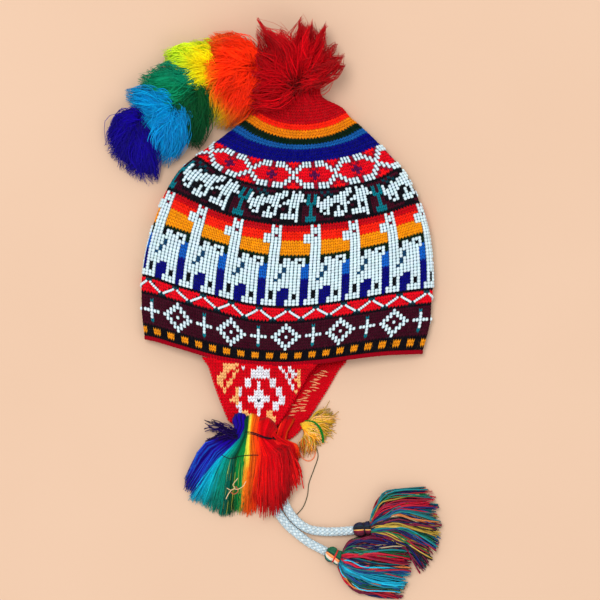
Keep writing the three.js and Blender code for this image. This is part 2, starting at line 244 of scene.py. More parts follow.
KNIT = yarn("knit_yarn", 1500.0, 0.84, 1.16, 0.35, 0.92, 0.02, 0.06)
TUFT = yarn("tuft_yarn", 700.0, 0.86, 1.12, 0.2, 0.85, 0.03, 0.08)
CORD = yarn("cord_yarn", 1100.0, 0.86, 1.08, 0.35, 0.75, 0.05, 0.2)
SILK = yarn("tassel_yarn", 900.0, 0.84, 1.14, 0.25, 0.5, 0.02, 0.32)
BEAD = glass("bead_glass")

floor_mesh = bpy.data.meshes.new("floor")
floor_mesh.from_pydata([(-15, -15, 0), (15, -15, 0), (15, 15, 0), (-15, 15, 0)], [], [(0, 1, 2, 3)])
floor_mesh.materials.append(paper("floor_paper"))
floor = bpy.data.objects.new("floor", floor_mesh)
scene.collection.objects.link(floor)
floor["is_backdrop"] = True


# ----------------------------------------------------------------- mesh building

class Piece:
    """Collects parts of one mesh. Small parts (stitches, beads, strands) each get a cell of
    the map; large ones share a strip of it."""

    def __init__(self, name):
        self.name = name
        self.small, self.large = [], []

    def add(self, v, f, col, uv, cell=None):
        """v (n,3) mm, f (m,3), col (n,3), uv (n,2) from 0 to 1, cell (n,) or None for a large part."""
        part = [np.asarray(v, float), np.asarray(f, int), np.asarray(col, float), np.asarray(uv, float), cell]
        (self.large if cell is None else self.small).append(part)

    def triangles(self):
        return sum(len(p[1]) for p in self.small + self.large)

    def build(self, material, slot, replaces=(), keep_floor=True):
        strip = 0.42 if self.large and self.small else (1.0 if self.large else 0.0)
        total = sum(int(p[4].max()) + 1 for p in self.small) if self.small else 0
        side = max(1, math.ceil(math.sqrt(total)))
        V, F, C, T = [], [], [], []
        base = first = 0
        for k, (v, f, col, uv, _) in enumerate(self.large):
            wide = 1.0 / len(self.large)
            T.append(np.stack([(k + 0.02 + 0.96 * uv[:, 0]) * wide, (0.02 + 0.96 * uv[:, 1]) * strip], -1))
            V.append(v); F.append(f + base); C.append(col)
            base += len(v)
        for v, f, col, uv, cell in self.small:
            at = cell + first
            cx, cy = at % side, at // side
            T.append(np.stack([(cx + 0.08 + 0.84 * uv[:, 0]) / side,
                               strip + (1 - strip) * (cy + 0.08 + 0.84 * uv[:, 1]) / side], -1))
            V.append(v); F.append(f + base); C.append(col)
            base += len(v)
            first += int(cell.max()) + 1
        V, F, C, T = (np.concatenate(x) for x in (V, F, C, T))
        if keep_floor:
            V[:, 2] = np.maximum(V[:, 2], FLOOR)
        me = bpy.data.meshes.new(self.name)
        me.vertices.add(len(V))
        me.vertices.foreach_set("co", (V * MM).astype(np.float32).ravel())
        me.loops.add(F.size)
        me.loops.foreach_set("vertex_index", F.astype(np.int32).ravel())
        me.polygons.add(len(F))
        me.polygons.foreach_set("loop_start", np.arange(0, F.size, 3, dtype=np.int32))
        me.update(calc_edges=True)
        me.polygons.foreach_set("use_smooth", np.ones(len(F), bool))
        layer = me.uv_layers.new(name="OFBake")
        layer.data.foreach_set("uv", T[F.ravel()].astype(np.float32).ravel())
        shade = me.color_attributes.new(name="Col", type="FLOAT_COLOR", domain="POINT")
        shade.data.foreach_set("color", np.c_[np.clip(C, 0, 4), np.ones(len(C))].astype(np.float32).ravel())
        me.materials.append(material)
        me.update()
        o = bpy.data.objects.new(self.name, me)
        scene.collection.objects.link(o)
        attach(o, "root")
        if replaces:
            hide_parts(*replaces)
        return o


# One yarn leg of a stitch: a spindle along y, seen from above along z.
LEG_V = np.array([[-1, 0, 0], [1, 0, 0], [0, -1, 0], [0, 1, 0], [0, 0, -1], [0, 0, 1]], float)
LEG_F = []
for sx in (-1, 1):
    for sy in (-1, 1):
        for sz in (-1, 1):
            tri = [0 if sx < 0 else 1, 2 if sy < 0 else 3, 4 if sz < 0 else 5]
            LEG_F.append(tri if sx * sy * sz > 0 else tri[::-1])
LEG_F = np.array(LEG_F)
LEG_UV = np.array([[0, 0.5], [1, 0.5], [0.5, 0], [0.5, 1], [0.44, 0.47], [0.56, 0.53]], float)
LEG_SHADE = np.array([0.94, 0.94, 0.90, 0.94, 0.9, 1.06])

# A fuller leg with two belts, for stitches seen singly.
FULL_V = np.array([[0, -1, 0]] + [[c * 0.86, y, s * 0.86] for y in (-0.45, 0.45)
                                  for c, s in ((1, 0), (0.0, 1), (-1, 0), (0.0, -1))] + [[0, 1, 0]], float)
FULL_F = []
for k in range(4):
    m = (k + 1) % 4
    FULL_F += [[0, 1 + m, 1 + k], [1 + k, 1 + m, 5 + m], [1 + k, 5 + m, 5 + k], [9, 5 + k, 5 + m]]
FULL_F = np.array(FULL_F)
vol = np.einsum("ij,ij->i", FULL_V[FULL_F[:, 0]], np.cross(FULL_V[FULL_F[:, 1]], FULL_V[FULL_F[:, 2]])).sum()
if vol < 0:
    FULL_F = FULL_F[:, ::-1]
FULL_UV = np.array([[0.5, 0]] + [[x, y] for y in (0.28, 0.72) for x in (0.95, 0.6, 0.05, 0.4)] + [[0.5, 1]], float)
FULL_SHADE = np.array([0.72] + [0.9, 1.06, 0.9, 0.75] * 2 + [0.78])

# A seed bead with its hole along x.
BEAD_SIDES = 6
BEAD_V, BEAD_UV = [], []
for i, (x, r) in enumerate(((-1.0, 0.55), (-0.62, 1.0), (0.62, 1.0), (1.0, 0.55))):
    for k in range(BEAD_SIDES):
        a = 2 * PI * (k + 0.25) / BEAD_SIDES
        BEAD_V.append([x, r * math.cos(a), r * math.sin(a)])
        BEAD_UV.append([0.5 + (0.12 + 0.12 * i) * math.cos(a), 0.5 + (0.12 + 0.12 * i) * math.sin(a)])
BEAD_F = []
for i in range(3):
    for k in range(BEAD_SIDES):
        m = (k + 1) % BEAD_SIDES
        a, b, c, d = i * BEAD_SIDES + k, i * BEAD_SIDES + m, (i + 1) * BEAD_SIDES + m, (i + 1) * BEAD_SIDES + k
        BEAD_F += [[a, b, c], [a, c, d]]
for k in range(1, BEAD_SIDES - 1):
    BEAD_F += [[0, k + 1, k], [3 * BEAD_SIDES, 3 * BEAD_SIDES + k, 3 * BEAD_SIDES + k + 1]]
BEAD_V, BEAD_UV, BEAD_F = np.array(BEAD_V, float), np.array(BEAD_UV, float), np.array(BEAD_F)
vol = np.einsum("ij,ij->i", BEAD_V[BEAD_F[:, 0]], np.cross(BEAD_V[BEAD_F[:, 1]], BEAD_V[BEAD_F[:, 2]])).sum()
if vol < 0:
    BEAD_F = BEAD_F[:, ::-1]


def scatter(piece, tv, tf, tuv, origin, ax, ay, az, colour, shade=None):
    """Copies a small form to each origin, on its own axes."""
    n, k = len(origin), len(tv)
    if n == 0:
        return
    v = (origin[:, None] + tv[None, :, 0:1] * ax[:, None] + tv[None, :, 1:2] * ay[:, None]
         + tv[None, :, 2:3] * az[:, None])
    f = tf[None] + (np.arange(n) * k)[:, None, None]
    col = np.repeat(colour[:, None], k, 1)
    if shade is not None:
        col = col * shade[None, :, None]
    piece.add(v.reshape(-1, 3), f.reshape(-1, 3), col.reshape(-1, 3), np.tile(tuv, (n, 1)),
              np.repeat(np.arange(n), k))


def strands(piece, path, radius, colour, sides=3, flat=None):
    """Yarn ends as thin closed tubes: path (n,m,3), radius (n,m), colour (n,m,3)."""
    n, m, _ = path.shape
    if n == 0:
        return
    path = path.copy()
    path[..., 2] = np.maximum(path[..., 2], FLOOR + radius)
    tan = unit(np.gradient(path, axis=1))
    axes = np.eye(3)
    worst = np.abs(tan).max(axis=1)
    ref = axes[np.argmin(worst, axis=1)][:, None, :]
    n1 = unit(np.cross(ref, tan))
    n2 = np.cross(tan, n1)
    ang = 2 * PI * (np.arange(sides) + 0.5) / sides
    v = path[:, :, None] + radius[:, :, None, None] * (
        n1[:, :, None] * np.cos(ang)[None, None, :, None] + n2[:, :, None] * np.sin(ang)[None, None, :, None])
    one = []
    for j in range(m - 1):
        for k in range(sides):
            q = (k + 1) % sides
            a, b, c, d = j * sides + k, j * sides + q, (j + 1) * sides + q, (j + 1) * sides + k
            one += [[a, b, c], [a, c, d]]
    for k in range(1, sides - 1):
        one += [[0, k + 1, k], [(m - 1) * sides, (m - 1) * sides + k, (m - 1) * sides + k + 1]]
    one = np.array(one)
    f = one[None] + (np.arange(n) * m * sides)[:, None, None]
    tuv = np.stack(np.broadcast_arrays(np.linspace(0, 1, m)[:, None], np.linspace(0, 1, sides)[None]), -1).reshape(-1, 2)
    col = np.repeat(colour[:, :, None], sides, 2)
    piece.add(v.reshape(-1, 3), f.reshape(-1, 3), col.reshape(-1, 3), np.tile(tuv, (n, 1)),
              np.repeat(np.arange(n), m * sides))


def grid_faces(rows, cols, wrap=False, flip=False):
    i, j = np.meshgrid(np.arange(rows - 1), np.arange(cols if wrap else cols - 1), indexing="ij")
    a, b = i * cols + j, i * cols + (j + 1) % cols
    c, d = (i + 1) * cols + (j + 1) % cols, (i + 1) * cols + j
    f = np.concatenate([np.stack([a, b, c], -1).reshape(-1, 3), np.stack([a, c, d], -1).reshape(-1, 3)])
    return f[:, ::-1] if flip else f


# -------------------------------------------------------------------------- crown

CROWN = [  # y of the row in the middle, left end, right end, height of the section, and how the row rises
    # from the middle to each end: shares of the whole rise at a quarter, a half and three quarters of the way
    (361.4, (144.0, 335.0), (423.2, 349.5), 22.0, (0.06, 0.27, 0.65), (0.18, 0.58, 0.90)),
    (341.0, (141.6, 312.5), (430.2, 323.5), 24.8, (0.06, 0.31, 0.67), (0.19, 0.53, 0.85)),
    (321.0, (141.3, 290.5), (431.5, 302.5), 27.0, (0.065, 0.37, 0.69), (0.20, 0.47, 0.79)),
    (308.0, (142.0, 276.0), (432.8, 289.8), 28.8, (0.08, 0.345, 0.65), (0.165, 0.47, 0.786)),
    (281.0, (146.3, 249.0), (431.8, 260.0), 31.4, (0.08, 0.355, 0.67), (0.11, 0.385, 0.70)),
    (256.2, (153.8, 222.5), (428.3, 232.0), 33.2, (0.083, 0.365, 0.69), (0.06, 0.30, 0.62)),
    (242.5, (159.8, 206.0), (425.3, 219.8), 33.7, (0.055, 0.25, 0.60), (0.057, 0.242, 0.595)),
    (225.0, (167.0, 189.0), (419.5, 202.0), 34.0, (0.083, 0.272, 0.617), (0.087, 0.26, 0.565)),
    (207.0, (179.0, 170.5), (411.3, 183.5), 33.3, (0.065, 0.24, 0.56), (0.05, 0.22, 0.51)),
    (189.5, (195.5, 156.0), (401.0, 167.5), 32.0, (0.044, 0.206, 0.50), (0.01, 0.18, 0.444)),
    (162.0, (216.0, 141.5), (380.0, 144.5), 29.0, (0.05, 0.21, 0.51), (0.08, 0.24, 0.54)),
    (143.0, (240.0, 123.0), (361.0, 126.0), 27.0, (0.05, 0.22, 0.53), (0.05, 0.22, 0.53)),
    (130.5, (251.0, 114.0), (350.0, 116.5), 26.0, (0.05, 0.22, 0.53), (0.05, 0.22, 0.53)),
    (115.0, (259.0, 104.0), (341.0, 106.5), 24.0, (0.05, 0.22, 0.53), (0.05, 0.22, 0.53)),
    (96.5, (263.0, 95.8), (320.8, 97.2), 22.0, (0.05, 0.22, 0.53), (0.05, 0.22, 0.53)),
]
CROWN_ROWS = []
for y_mid, left, right, high, bow_left, bow_right in CROWN:
    l, r, y = plan(left), plan(right), (240.0 - y_mid) * UNIT
    CROWN_ROWS.append([y, l[0], r[0], l[1] - y, r[1] - y, high, *bow_left, *bow_right])

NT, NU = 320, 960
T_ALL = np.linspace(0, 1, NT)


def bowed(shares, q):
    """How far a row has risen at q, 0 in the middle and 1 at its end."""
    n = len(shares)
    at = np.concatenate([np.zeros((n, 1)), shares, np.ones((n, 1))], 1)
    q = np.clip(q, 0, 1)
    i = np.minimum((q * 4).astype(int), 3)
    f = q * 4 - i
    a, b, c, d = (at[np.arange(n)[:, None], np.minimum(np.abs(i + k), 4)] for k in (-1, 0, 1, 2))
    return 0.5 * (2 * b + (c - a) * f + (2 * a - 5 * b + 4 * c - d) * f * f + (3 * b - a - 3 * c + d) * f ** 3)


def crown_table(inset, keep=1.0):
    """The crown's surface at a depth, by height t and by place round it u. u runs over the
    underside, up the left fold, over the top from left to right and back; 0.5 is the top's middle."""
    rows = along(CROWN_ROWS, T_ALL * keep)
    y, l, r, rl, rr, H = (c[:, None] for c in rows[:, :6].T)
    mid, half = (l + r) / 2, (r - l) / 2
    fold = 0.36 * H
    bend = np.minimum(13.0, half * 0.5)
    tau = np.linspace(PI / 2, 0, 20)[None]
    th = np.linspace(PI, 0, 121)[None]
    run = np.linspace(0, 1, 30)[None, :-1]
    s = np.concatenate([
        -run * (half - bend),
        -(half - inset) + (bend - inset) * (1 - np.cos(tau[:, :-1])),
        np.cos(th) * (half - inset),
        (half - inset) - (bend - inset) * (1 - np.cos(tau[:, ::-1][:, 1:])),
        ((1 - np.linspace(0, 1, 30)[None, 1:]) * (half - bend)),
    ], 1)
    z = np.concatenate([
        inset + 0 * run * half,
        fold - (fold - inset) * np.sin(tau[:, :-1]),
        fold + (H - inset - fold) * np.sin(th),
        fold - (fold - inset) * np.sin(tau[:, ::-1][:, 1:]),
        inset + 0 * run * half,
    ], 1)
    q = s / (half - inset)
    rise = np.where(q < 0, rl * bowed(rows[:, 6:9], np.abs(q)), rr * bowed(rows[:, 9:12], np.abs(q)))
    p = np.stack([mid + s, y + rise, z], -1)
    d = np.concatenate([np.zeros((NT, 1)), np.cumsum(np.linalg.norm(np.diff(p, axis=1), axis=2), 1)], 1)
    top = 29 + 19 + 60
    dm, de = d[:, top:top + 1], d[:, -1:]
    u = np.where(d <= dm, 0.5 * d / dm, 0.5 + 0.5 * (d - dm) / (de - dm))
    want = np.linspace(0, 1, NU + 1)
    out = np.empty((NT, NU + 1, 3))
    for i in range(NT):
        for k in range(3):
            out[i, :, k] = np.interp(want, u[i], p[i, :, k])
    return out, d[:, -1]


OUTER, ROUND = crown_table(0.0)
INNER, _ = crown_table(3.0, 0.985)
Y_MID = along(CROWN_ROWS, T_ALL)[:, 0]


def t_of(y_plan):
    return np.interp((240.0 - np.asarray(y_plan, float)) * UNIT, Y_MID, T_ALL)


def on(table, t, u):
    t, u = np.broadcast_arrays(np.asarray(t, float), np.asarray(u, float))
    a = np.clip(t, 0, 1) * (NT - 1)
    b = (u % 1.0) * NU
    i, j = np.minimum(a.astype(int), NT - 2), np.minimum(b.astype(int), NU - 1)
    f, g = (a - i)[..., None], (b - j)[..., None]
    return ((1 - f) * ((1 - g) * table[i, j] + g * table[i, j + 1])
            + f * ((1 - g) * table[i + 1, j] + g * table[i + 1, j + 1]))


def axes_on(table, t, u, e=0.004):
    U = unit(on(table, t, u + e) - on(table, t, u - e))
    V = on(table, np.minimum(np.asarray(t) + e, 1), u) - on(table, np.maximum(np.asarray(t) - e, 0), u)
    V = unit(V)
    N = unit(np.cross(U, V))
    return U, V, N


# Yarn colours
CRIMSON, RED_ORANGE, ORANGE = lin(194, 0, 17), lin(255, 34, 8), lin(246, 152, 4)
DARK_GREEN, MID_BLUE, NAVY = lin(0, 32, 14), lin(14, 98, 200), lin(0, 0, 122)
BAND_RED, BLACK, MAROON = lin(232, 0, 26), lin(8, 5, 16), lin(62, 2, 26)
TEAL, TEAL_DIM, WHITE = lin(2, 118, 134), lin(4, 62, 76), lin(208, 230, 238)
CHECK, YELLOW, LIGHT_BLUE = lin(236, 148, 16), lin(240, 136, 6), lin(16, 92, 168)
PLUM, BRIGHT = lin(92, 8, 72), lin(252, 10, 22)
FLAP_RED, PEACH, FLAP_WHITE = lin(216, 0, 22), lin(246, 184, 116), lin(232, 234, 242)

LLAMA = """
..#.#......
..###......
..###......
###e#......
#####......
#####......
..###......
..###......
..###......
..###......
..###......
#.###k##k##
#.###k####k
#.#########
..####b####
..####b####
..###b#####
..###b#####
..##b######
..#########
..#########
..####..###
..#k#...###
..#k#...#k#
..#k#...#k#
.####..####
.####..####
""".split()
LLAMA_GROUND = [CRIMSON] * 2 + [RED_ORANGE] * 3 + [ORANGE] * 5 + [DARK_GREEN] * 3 + [MID_BLUE] * 5 + [NAVY] * 9

GRAZER = """
.d.d.....##.#.#.....
..d.d..####.####.t.t
#..#.#####k.####.t.t
#.#######k.#####ht.t
#########k#####..ttt
#####..###..###...t.
.###..#.#...#.#...t.
.#.#..#.#...#.#...t.
..##.####.#####...t.
.....###..#####..ttt
..............#..ttt
""".split()

EYE = """
RR.###.###.R
R.####.####.
.##rr.r.rr##
##rrrrprrrr#
#rrrrppprrrr
##rrrrprrrr#
.##rr.r.rr##
R.####.####.
RR.###.###.R
""".split()

DIAMOND = """
....#...........
...###......k...
..##.##.....#...
.##...##....#...
##..#..##.#####.
.##...##....#...
..##.##.....#...
...###......k...
....#...........
""".split()


def chart(rows, index, cols):
    row = rows[index]
    return np.array([row[c % len(row)] for c in cols])


# Bands of the crown from the rim up: plan y of the lower and upper edge in the middle, rows,
# stitches round, and which chart. anchor = chart column whose left edge lies at that plan x.
BANDS = [
    ("checks", 361.4, 350.5, 4, 240, (0, 265.9), 13.5 / 6),
    ("diamonds", 350.5, 323.6, 9, 176, (0, 270.5), None),
    ("black", 323.6, 321.2, 1, 176, (0, 286.0), None),
    ("zigzag", 321.2, 308.2, 4, 168, (0, 287.4), 26.9 / 8),
    ("black", 308.2, 305.9, 1, 176, (0, 286.0), None),
    ("llamas", 305.9, 226.0, 27, 176, (2, 267.4), 39.5 / 11),
    ("black", 226.0, 222.8, 1, 170, (0, 286.0), None),
    ("grazers", 222.8, 191.4, 11, 140, (0, 247.4), 65.4 / 20),
    ("black", 191.4, 188.9, 1, 132, (0, 286.0), None),
    ("eyes", 188.9, 162.6, 9, 108, (0, 291.6), 40.6 / 12),
    ("navy", 162.6, 149.6, 4, 100, (0, 286.0), None),
    ("light", 149.6, 145.0, 2, 90, (0, 286.0), None),
    ("green", 145.0, 139.0, 2, 86, (0, 286.0), None),
    ("yellow", 139.0, 130.5, 3, 80, (0, 286.0), None),
    ("orange", 130.5, 124.4, 2, 74, (0, 286.0), None),
    ("red", 124.4, 97.0, 9, 68, (0, 286.0), None),
]

rng = np.random.default_rng(11)
ROWS = []          # every knitted row: t of its edges, column places, colours, bead flags
for name, y0, y1, count, n, (anchor, anchor_x), pitch in BANDS:
    tm = float(t_of((y0 + y1) / 2))
    around = float(np.interp(tm, T_ALL, ROUND))
    ua = np.linspace(0.40, 0.60, 201)
    ease = on(OUTER, np.full(201, tm), ua)
    offset = np.interp((anchor_x - 286.0) * UNIT, ease[:, 0], (ua - 0.5) * around)   # from the top's middle line
    edges = t_of(np.linspace(y1, y0, count + 1))       # from the top of the band down
    # every row of a band has the same stitches, so its columns lean in where the crown narrows; the
    # underside takes up what the pitch on the top leaves over
    a = 0.0 if pitch is None else 1 - pitch / (around / n)
    x_anchor = 0.5 + float(offset) / around / (1 - a)
    for i in range(count):
        j = np.arange(n)
        x = x_anchor + (j + 0.5 - anchor) / n

        def warp(x):
            x = (x % 1.0) - 0.5
            return 0.5 + x - a * np.sin(2 * PI * x) / (2 * PI)
        u = warp(x)
        width = (1 - a * np.cos(2 * PI * ((x % 1.0) - 0.5))) / n
        bead = np.zeros(n, bool)
        colour = np.empty((n, 3))
        if name == "checks":
            colour[:] = BLACK
            if i in (1, 2):
                colour[(j % 6) < 3] = CHECK
        elif name == "diamonds":
            code = chart(DIAMOND, i, j)
            colour[:] = MAROON
            colour[code == "k"] = TEAL
            bead = code == "#"
        elif name == "zigzag":
            colour[:] = BAND_RED
            ph = j % 8 + 0.5
            line = np.where(ph < 4, ph, 8 - ph) * 3 / 4
            colour[np.abs(line - i - 0.0) < 0.55] = BLACK
            if i == 0:
                colour[(j % 8 == 0) | (j % 8 == 7)] = TEAL_DIM
            if i == 3:
                colour[(j % 8 == 3) | (j % 8 == 4)] = TEAL_DIM
        elif name == "llamas":
            code = chart(LLAMA, i, j)
            colour[:] = LLAMA_GROUND[i]
            colour[code == "k"] = BLACK
            colour[code == "b"] = lin(20, 70, 110)
            colour[code == "e"] = lin(120, 10, 40)
            bead = code == "#"
        elif name == "grazers":
            code = chart(GRAZER, i, j)
            solid = lambda k: np.isin(chart(GRAZER, min(max(k, 0), 10), j), ["#", "h"])
            near = solid(i - 1) | solid(i + 1) | np.roll(solid(i), 1) | np.roll(solid(i), -1)
            colour[:] = MAROON
            colour[near] = BLACK
            colour[code == "t"] = TEAL
            colour[code == "d"] = TEAL_DIM
            colour[code == "k"] = BLACK
            bead = (code == "#") | (code == "h")
        elif name == "eyes":
            code = chart(EYE, i, j)
            colour[:] = lin(150, 4, 36)
            colour[code == "r"] = BAND_RED
            colour[code == "R"] = BRIGHT
            colour[code == "p"] = PLUM
            bead = code == "#"
        else:
            colour[:] = {"black": BLACK, "navy": NAVY, "light": LIGHT_BLUE, "green": DARK_GREEN, "yellow": YELLOW,
                         "orange": RED_ORANGE, "red": CRIMSON}[name]
        colour[bead] = WHITE
        ROWS.append(dict(band=name, t0=float(edges[i + 1]), t1=float(edges[i]), u=u, width=width, x0=float(x[0] - 0.5 / n),
                         n=n, a=a, colour=colour, bead=bead))
ROWS.sort(key=lambda r: r["t0"])
ROWS[-1]["t1"] = 1.0

knit = Piece("crown_knit")
beads = {"llamas": Piece("crown_beads_llamas"), "other": Piece("crown_beads_bands")}
for row in ROWS:
    tc = (row["t0"] + row["t1"]) / 2
    u, n = row["u"], row["n"]
    t = np.full(n, tc)
    C = on(OUTER, t, u)
    U, V, N = axes_on(OUTER, t, u)
    around = float(np.interp(tc, T_ALL, ROUND))
    w = (row["width"] * around)[:, None]
    h = np.linalg.norm(on(OUTER, np.full(n, row["t1"]), u) - on(OUTER, np.full(n, row["t0"]), u), axis=1)[:, None]
    plain = ~row["bead"]
    jit = np.exp(rng.normal(0, 0.07, (n, 1))) * np.exp(rng.normal(0, 0.03))
    colour = row["colour"] * jit + rng.uniform(0, 0.004, (n, 1))
    for side in (-1, 1):
        k = plain
        m = int(k.sum())
        if m == 0:
            continue
        lean = np.radians(12 + rng.normal(0, 3.0, (m, 1)))
        leg = unit(V[k] * np.cos(lean) + side * U[k] * np.sin(lean) - N[k] * 0.10)
        across = unit(U[k] * np.cos(lean) - side * V[k] * np.sin(lean))
        up = unit(np.cross(across, leg))
        at = (C[k] + U[k] * (side * 0.245 * w[k]) + V[k] * (0.06 * h[k]) - N[k] * 0.52
              + rng.normal(0, 0.05, (m, 3)))
        scatter(knit, LEG_V, LEG_F, LEG_UV, at, across * (0.31 * w[k]), leg * (1.04 * h[k]), up * 0.66,
                colour[k], LEG_SHADE)
    k = row["bead"]
    m = int(k.sum())
    if m:
        piece = beads["llamas" if row["band"] == "llamas" else "other"]
        slim = {"eyes": 0.355, "grazers": 0.41, "diamonds": 0.41}.get(row["band"], 0.435)
        loose = {"eyes": 0.16, "grazers": 0.12}.get(row["band"], 0.08)
        r = 0.5 * h[k] * (1.20 if row["band"] in ("eyes", "llamas") else 1.16)
        at = C[k] + N[k] * 0.25 + rng.normal(0, 0.06, (m, 3))
        at[:, 2] = np.maximum(at[:, 2], r[:, 0] + 0.06)
        tip = rng.normal(0, loose, (m, 1))
        ax, ay = unit(U[k] + V[k] * tip), unit(V[k] - U[k] * tip)
        tone = np.exp(rng.normal(0, 0.05, (m, 1))) * (WHITE + rng.normal(0, 0.012, (m, 3)))
        scatter(piece, BEAD_V, BEAD_F, BEAD_UV, at, ax * (slim * w[k]), ay * r, N[k] * r * 0.82, tone)

# Slanting bars of the zigzag: strings of small beads laid on the knitting.
zig = [r for r in ROWS if r["band"] == "zigzag"]
a_zig, x0, turns = zig[0]["a"], zig[0]["x0"], 21
t_low, t_high = float(t_of(319.9)), float(t_of(309.6))
for start, end in (((0.0), 0.5), (1.0, 0.5)):
    k = np.arange(turns)
    f = np.linspace(0.16, 0.84, 6)
    x = x0 + (k[:, None] + start + (end - start) * f[None]) / turns
    x = (x % 1.0) - 0.5
    u = 0.5 + x - a_zig * np.sin(2 * PI * x) / (2 * PI)
    t = np.broadcast_to(t_high + (t_low - t_high) * f[None], u.shape)
    u, t = u.ravel(), t.ravel()
    C = on(OUTER, t, u)
    U, V, N = axes_on(OUTER, t, u)
    P = C.reshape(turns, 6, 3)
    D = unit(np.gradient(P, axis=1)).reshape(-1, 3)
    pitch = np.linalg.norm(np.diff(P, axis=1), axis=2).mean()
    S = unit(np.cross(N, D))
    at = C + N * 0.45
    at[:, 2] = np.maximum(at[:, 2], 1.15)
    tone = np.exp(rng.normal(0, 0.03, (len(u), 1))) * (WHITE * 1.02)
    scatter(beads["other"], BEAD_V, BEAD_F, BEAD_UV, at, D * (0.5 * pitch * 1.0), S * 1.3, N * 1.15, tone)

# The wall itself: outside just under the stitches, inside the wrong side of the knitting.
wall = Piece("crown_wall")
COLS = 132
uu = np.arange(COLS) / COLS
edges = np.array([r["t0"] for r in ROWS] + [1.0])


def row_colours(row, u):
    """Colour under each place of a row."""
    order = np.argsort(row["u"] % 1.0)
    us = (row["u"] % 1.0)[order]
    k = np.searchsorted(us, (u - 0.5 / row["n"]) % 1.0) % row["n"]
    return row["colour"][order][k], row["bead"][order][k]


deep, _ = crown_table(1.05)
tt, cc = [], []
for i, row in enumerate(ROWS):
    c, b = row_colours(row, uu)
    # painted shade: the wall is the row colour darkened to 0.78 under the stitches, and a bluish grey under the beads,
    # so the gaps between stitches and between bead strings read as shade
    c = np.where(b[:, None], lin(84, 108, 124)[None], c * 0.78)
    lo, hi = row["t0"], row["t1"]
    for f in (0.5,):
        tt.append(lo + (hi - lo) * f)
        cc.append(c)
tt[0], tt[-1] = 0.0, 1.0
tt = np.array(tt)
v = on(deep, tt[:, None], uu[None])
inner_t = np.linspace(0, 1, 46)
vi = on(INNER, inner_t[:, None], uu[None])
ci = []
for t in inner_t:
    k = int(np.clip(np.searchsorted(edges, t * 0.985, "right") - 1, 0, len(ROWS) - 1))
    c, b = row_colours(ROWS[k], uu)
    mix = rng.uniform(0.35, 0.9, (COLS, 1))
    ci.append(np.where(b[:, None], lin(92, 18, 34)[None], c) * mix + lin(46, 6, 20)[None] * (1 - mix))
vi += rng.normal(0, 0.12, vi.shape)
no, ni = len(tt), len(inner_t)
points = np.concatenate([v.reshape(-1, 3), vi.reshape(-1, 3)])
faces = [grid_faces(no, COLS, True), grid_faces(ni, COLS, True, True) + no * COLS]
j = np.arange(COLS)
m = (j + 1) % COLS
a, b, c, d = j, m, no * COLS + m, no * COLS + j
faces += [np.stack([b, a, c], -1), np.stack([c, a, d], -1)]
hub = len(points)
points = np.r_[points, v[-1].mean(0)[None], vi[-1].mean(0)[None]]
last = (no - 1) * COLS
faces += [np.stack([np.full(COLS, hub), last + j, last + m], -1)]
last = no * COLS + (ni - 1) * COLS
faces += [np.stack([np.full(COLS, hub + 1), last + m, last + j], -1)]
# painted shade: the two centre points, under the pompom and inside the crown, are crimson darkened to half
col = np.concatenate([np.array(cc).reshape(-1, 3), np.array(ci).reshape(-1, 3), np.tile(CRIMSON * 0.5, (2, 1))])
go = np.stack(np.broadcast_arrays(uu[None], 0.6 * tt[:, None]), -1).reshape(-1, 2)
gi = np.stack(np.broadcast_arrays(uu[None], 0.62 + 0.38 * inner_t[:, None]), -1).reshape(-1, 2)
wall.add(points, np.concatenate(faces), col, np.r_[go, gi, [[0.5, 0.6], [0.5, 1.0]]])

# Floats: yarn carried loosely across the inside, where the mouth lets one see them.
fl = 1500
t = rng.uniform(0.01, 0.42, fl)
u = rng.uniform(0, 1, fl)
C = on(INNER, t, u)
U, V, N = axes_on(INNER, t, u)
k = np.clip(np.searchsorted(edges, t * 0.985, "right") - 1, 0, len(ROWS) - 1)
pool = np.array([MAROON, BAND_RED, CRIMSON, BLACK, NAVY, lin(150, 160, 170)])
fc = pool[rng.choice(len(pool), fl, p=[0.3, 0.22, 0.2, 0.14, 0.08, 0.06])]
tilt = rng.normal(0, 0.08, (fl, 1))
D = unit(U + V * tilt)
S = unit(np.cross(-N, D))
scatter(wall, LEG_V, LEG_F, LEG_UV, C - N * 0.25, S * 0.5, D * rng.uniform(3.0, 6.5, (fl, 1)), -N * 0.42, fc, LEG_SHADE)

wall_obj = wall.build(KNIT, "beaded_knit", ["crown"])
knit_obj = knit.build(KNIT, "beaded_knit")
for piece in beads.values():
    piece.build(BEAD, "beaded_knit")

# ------------------------------------------------------------------- rim edging

edging = Piece("rim_edging_crochet")
EN = 190
ue = np.arange(EN) / EN
RIM_O, RIM_I = on(OUTER, np.zeros(EN), ue), on(INNER, np.zeros(EN), ue)
RIM_OUT = (RIM_O - RIM_I) * np.array([1, 0, 1])
RIM_OUT = unit(RIM_OUT)


def rim_point(outward, down, k=slice(None)):
    """A point of the edging's section: outward from its middle, and down from the rim."""
    p = (RIM_O + RIM_I)[k] / 2 + RIM_OUT[k] * outward
    p = p - np.array([0, 1, 0]) * down
    return p


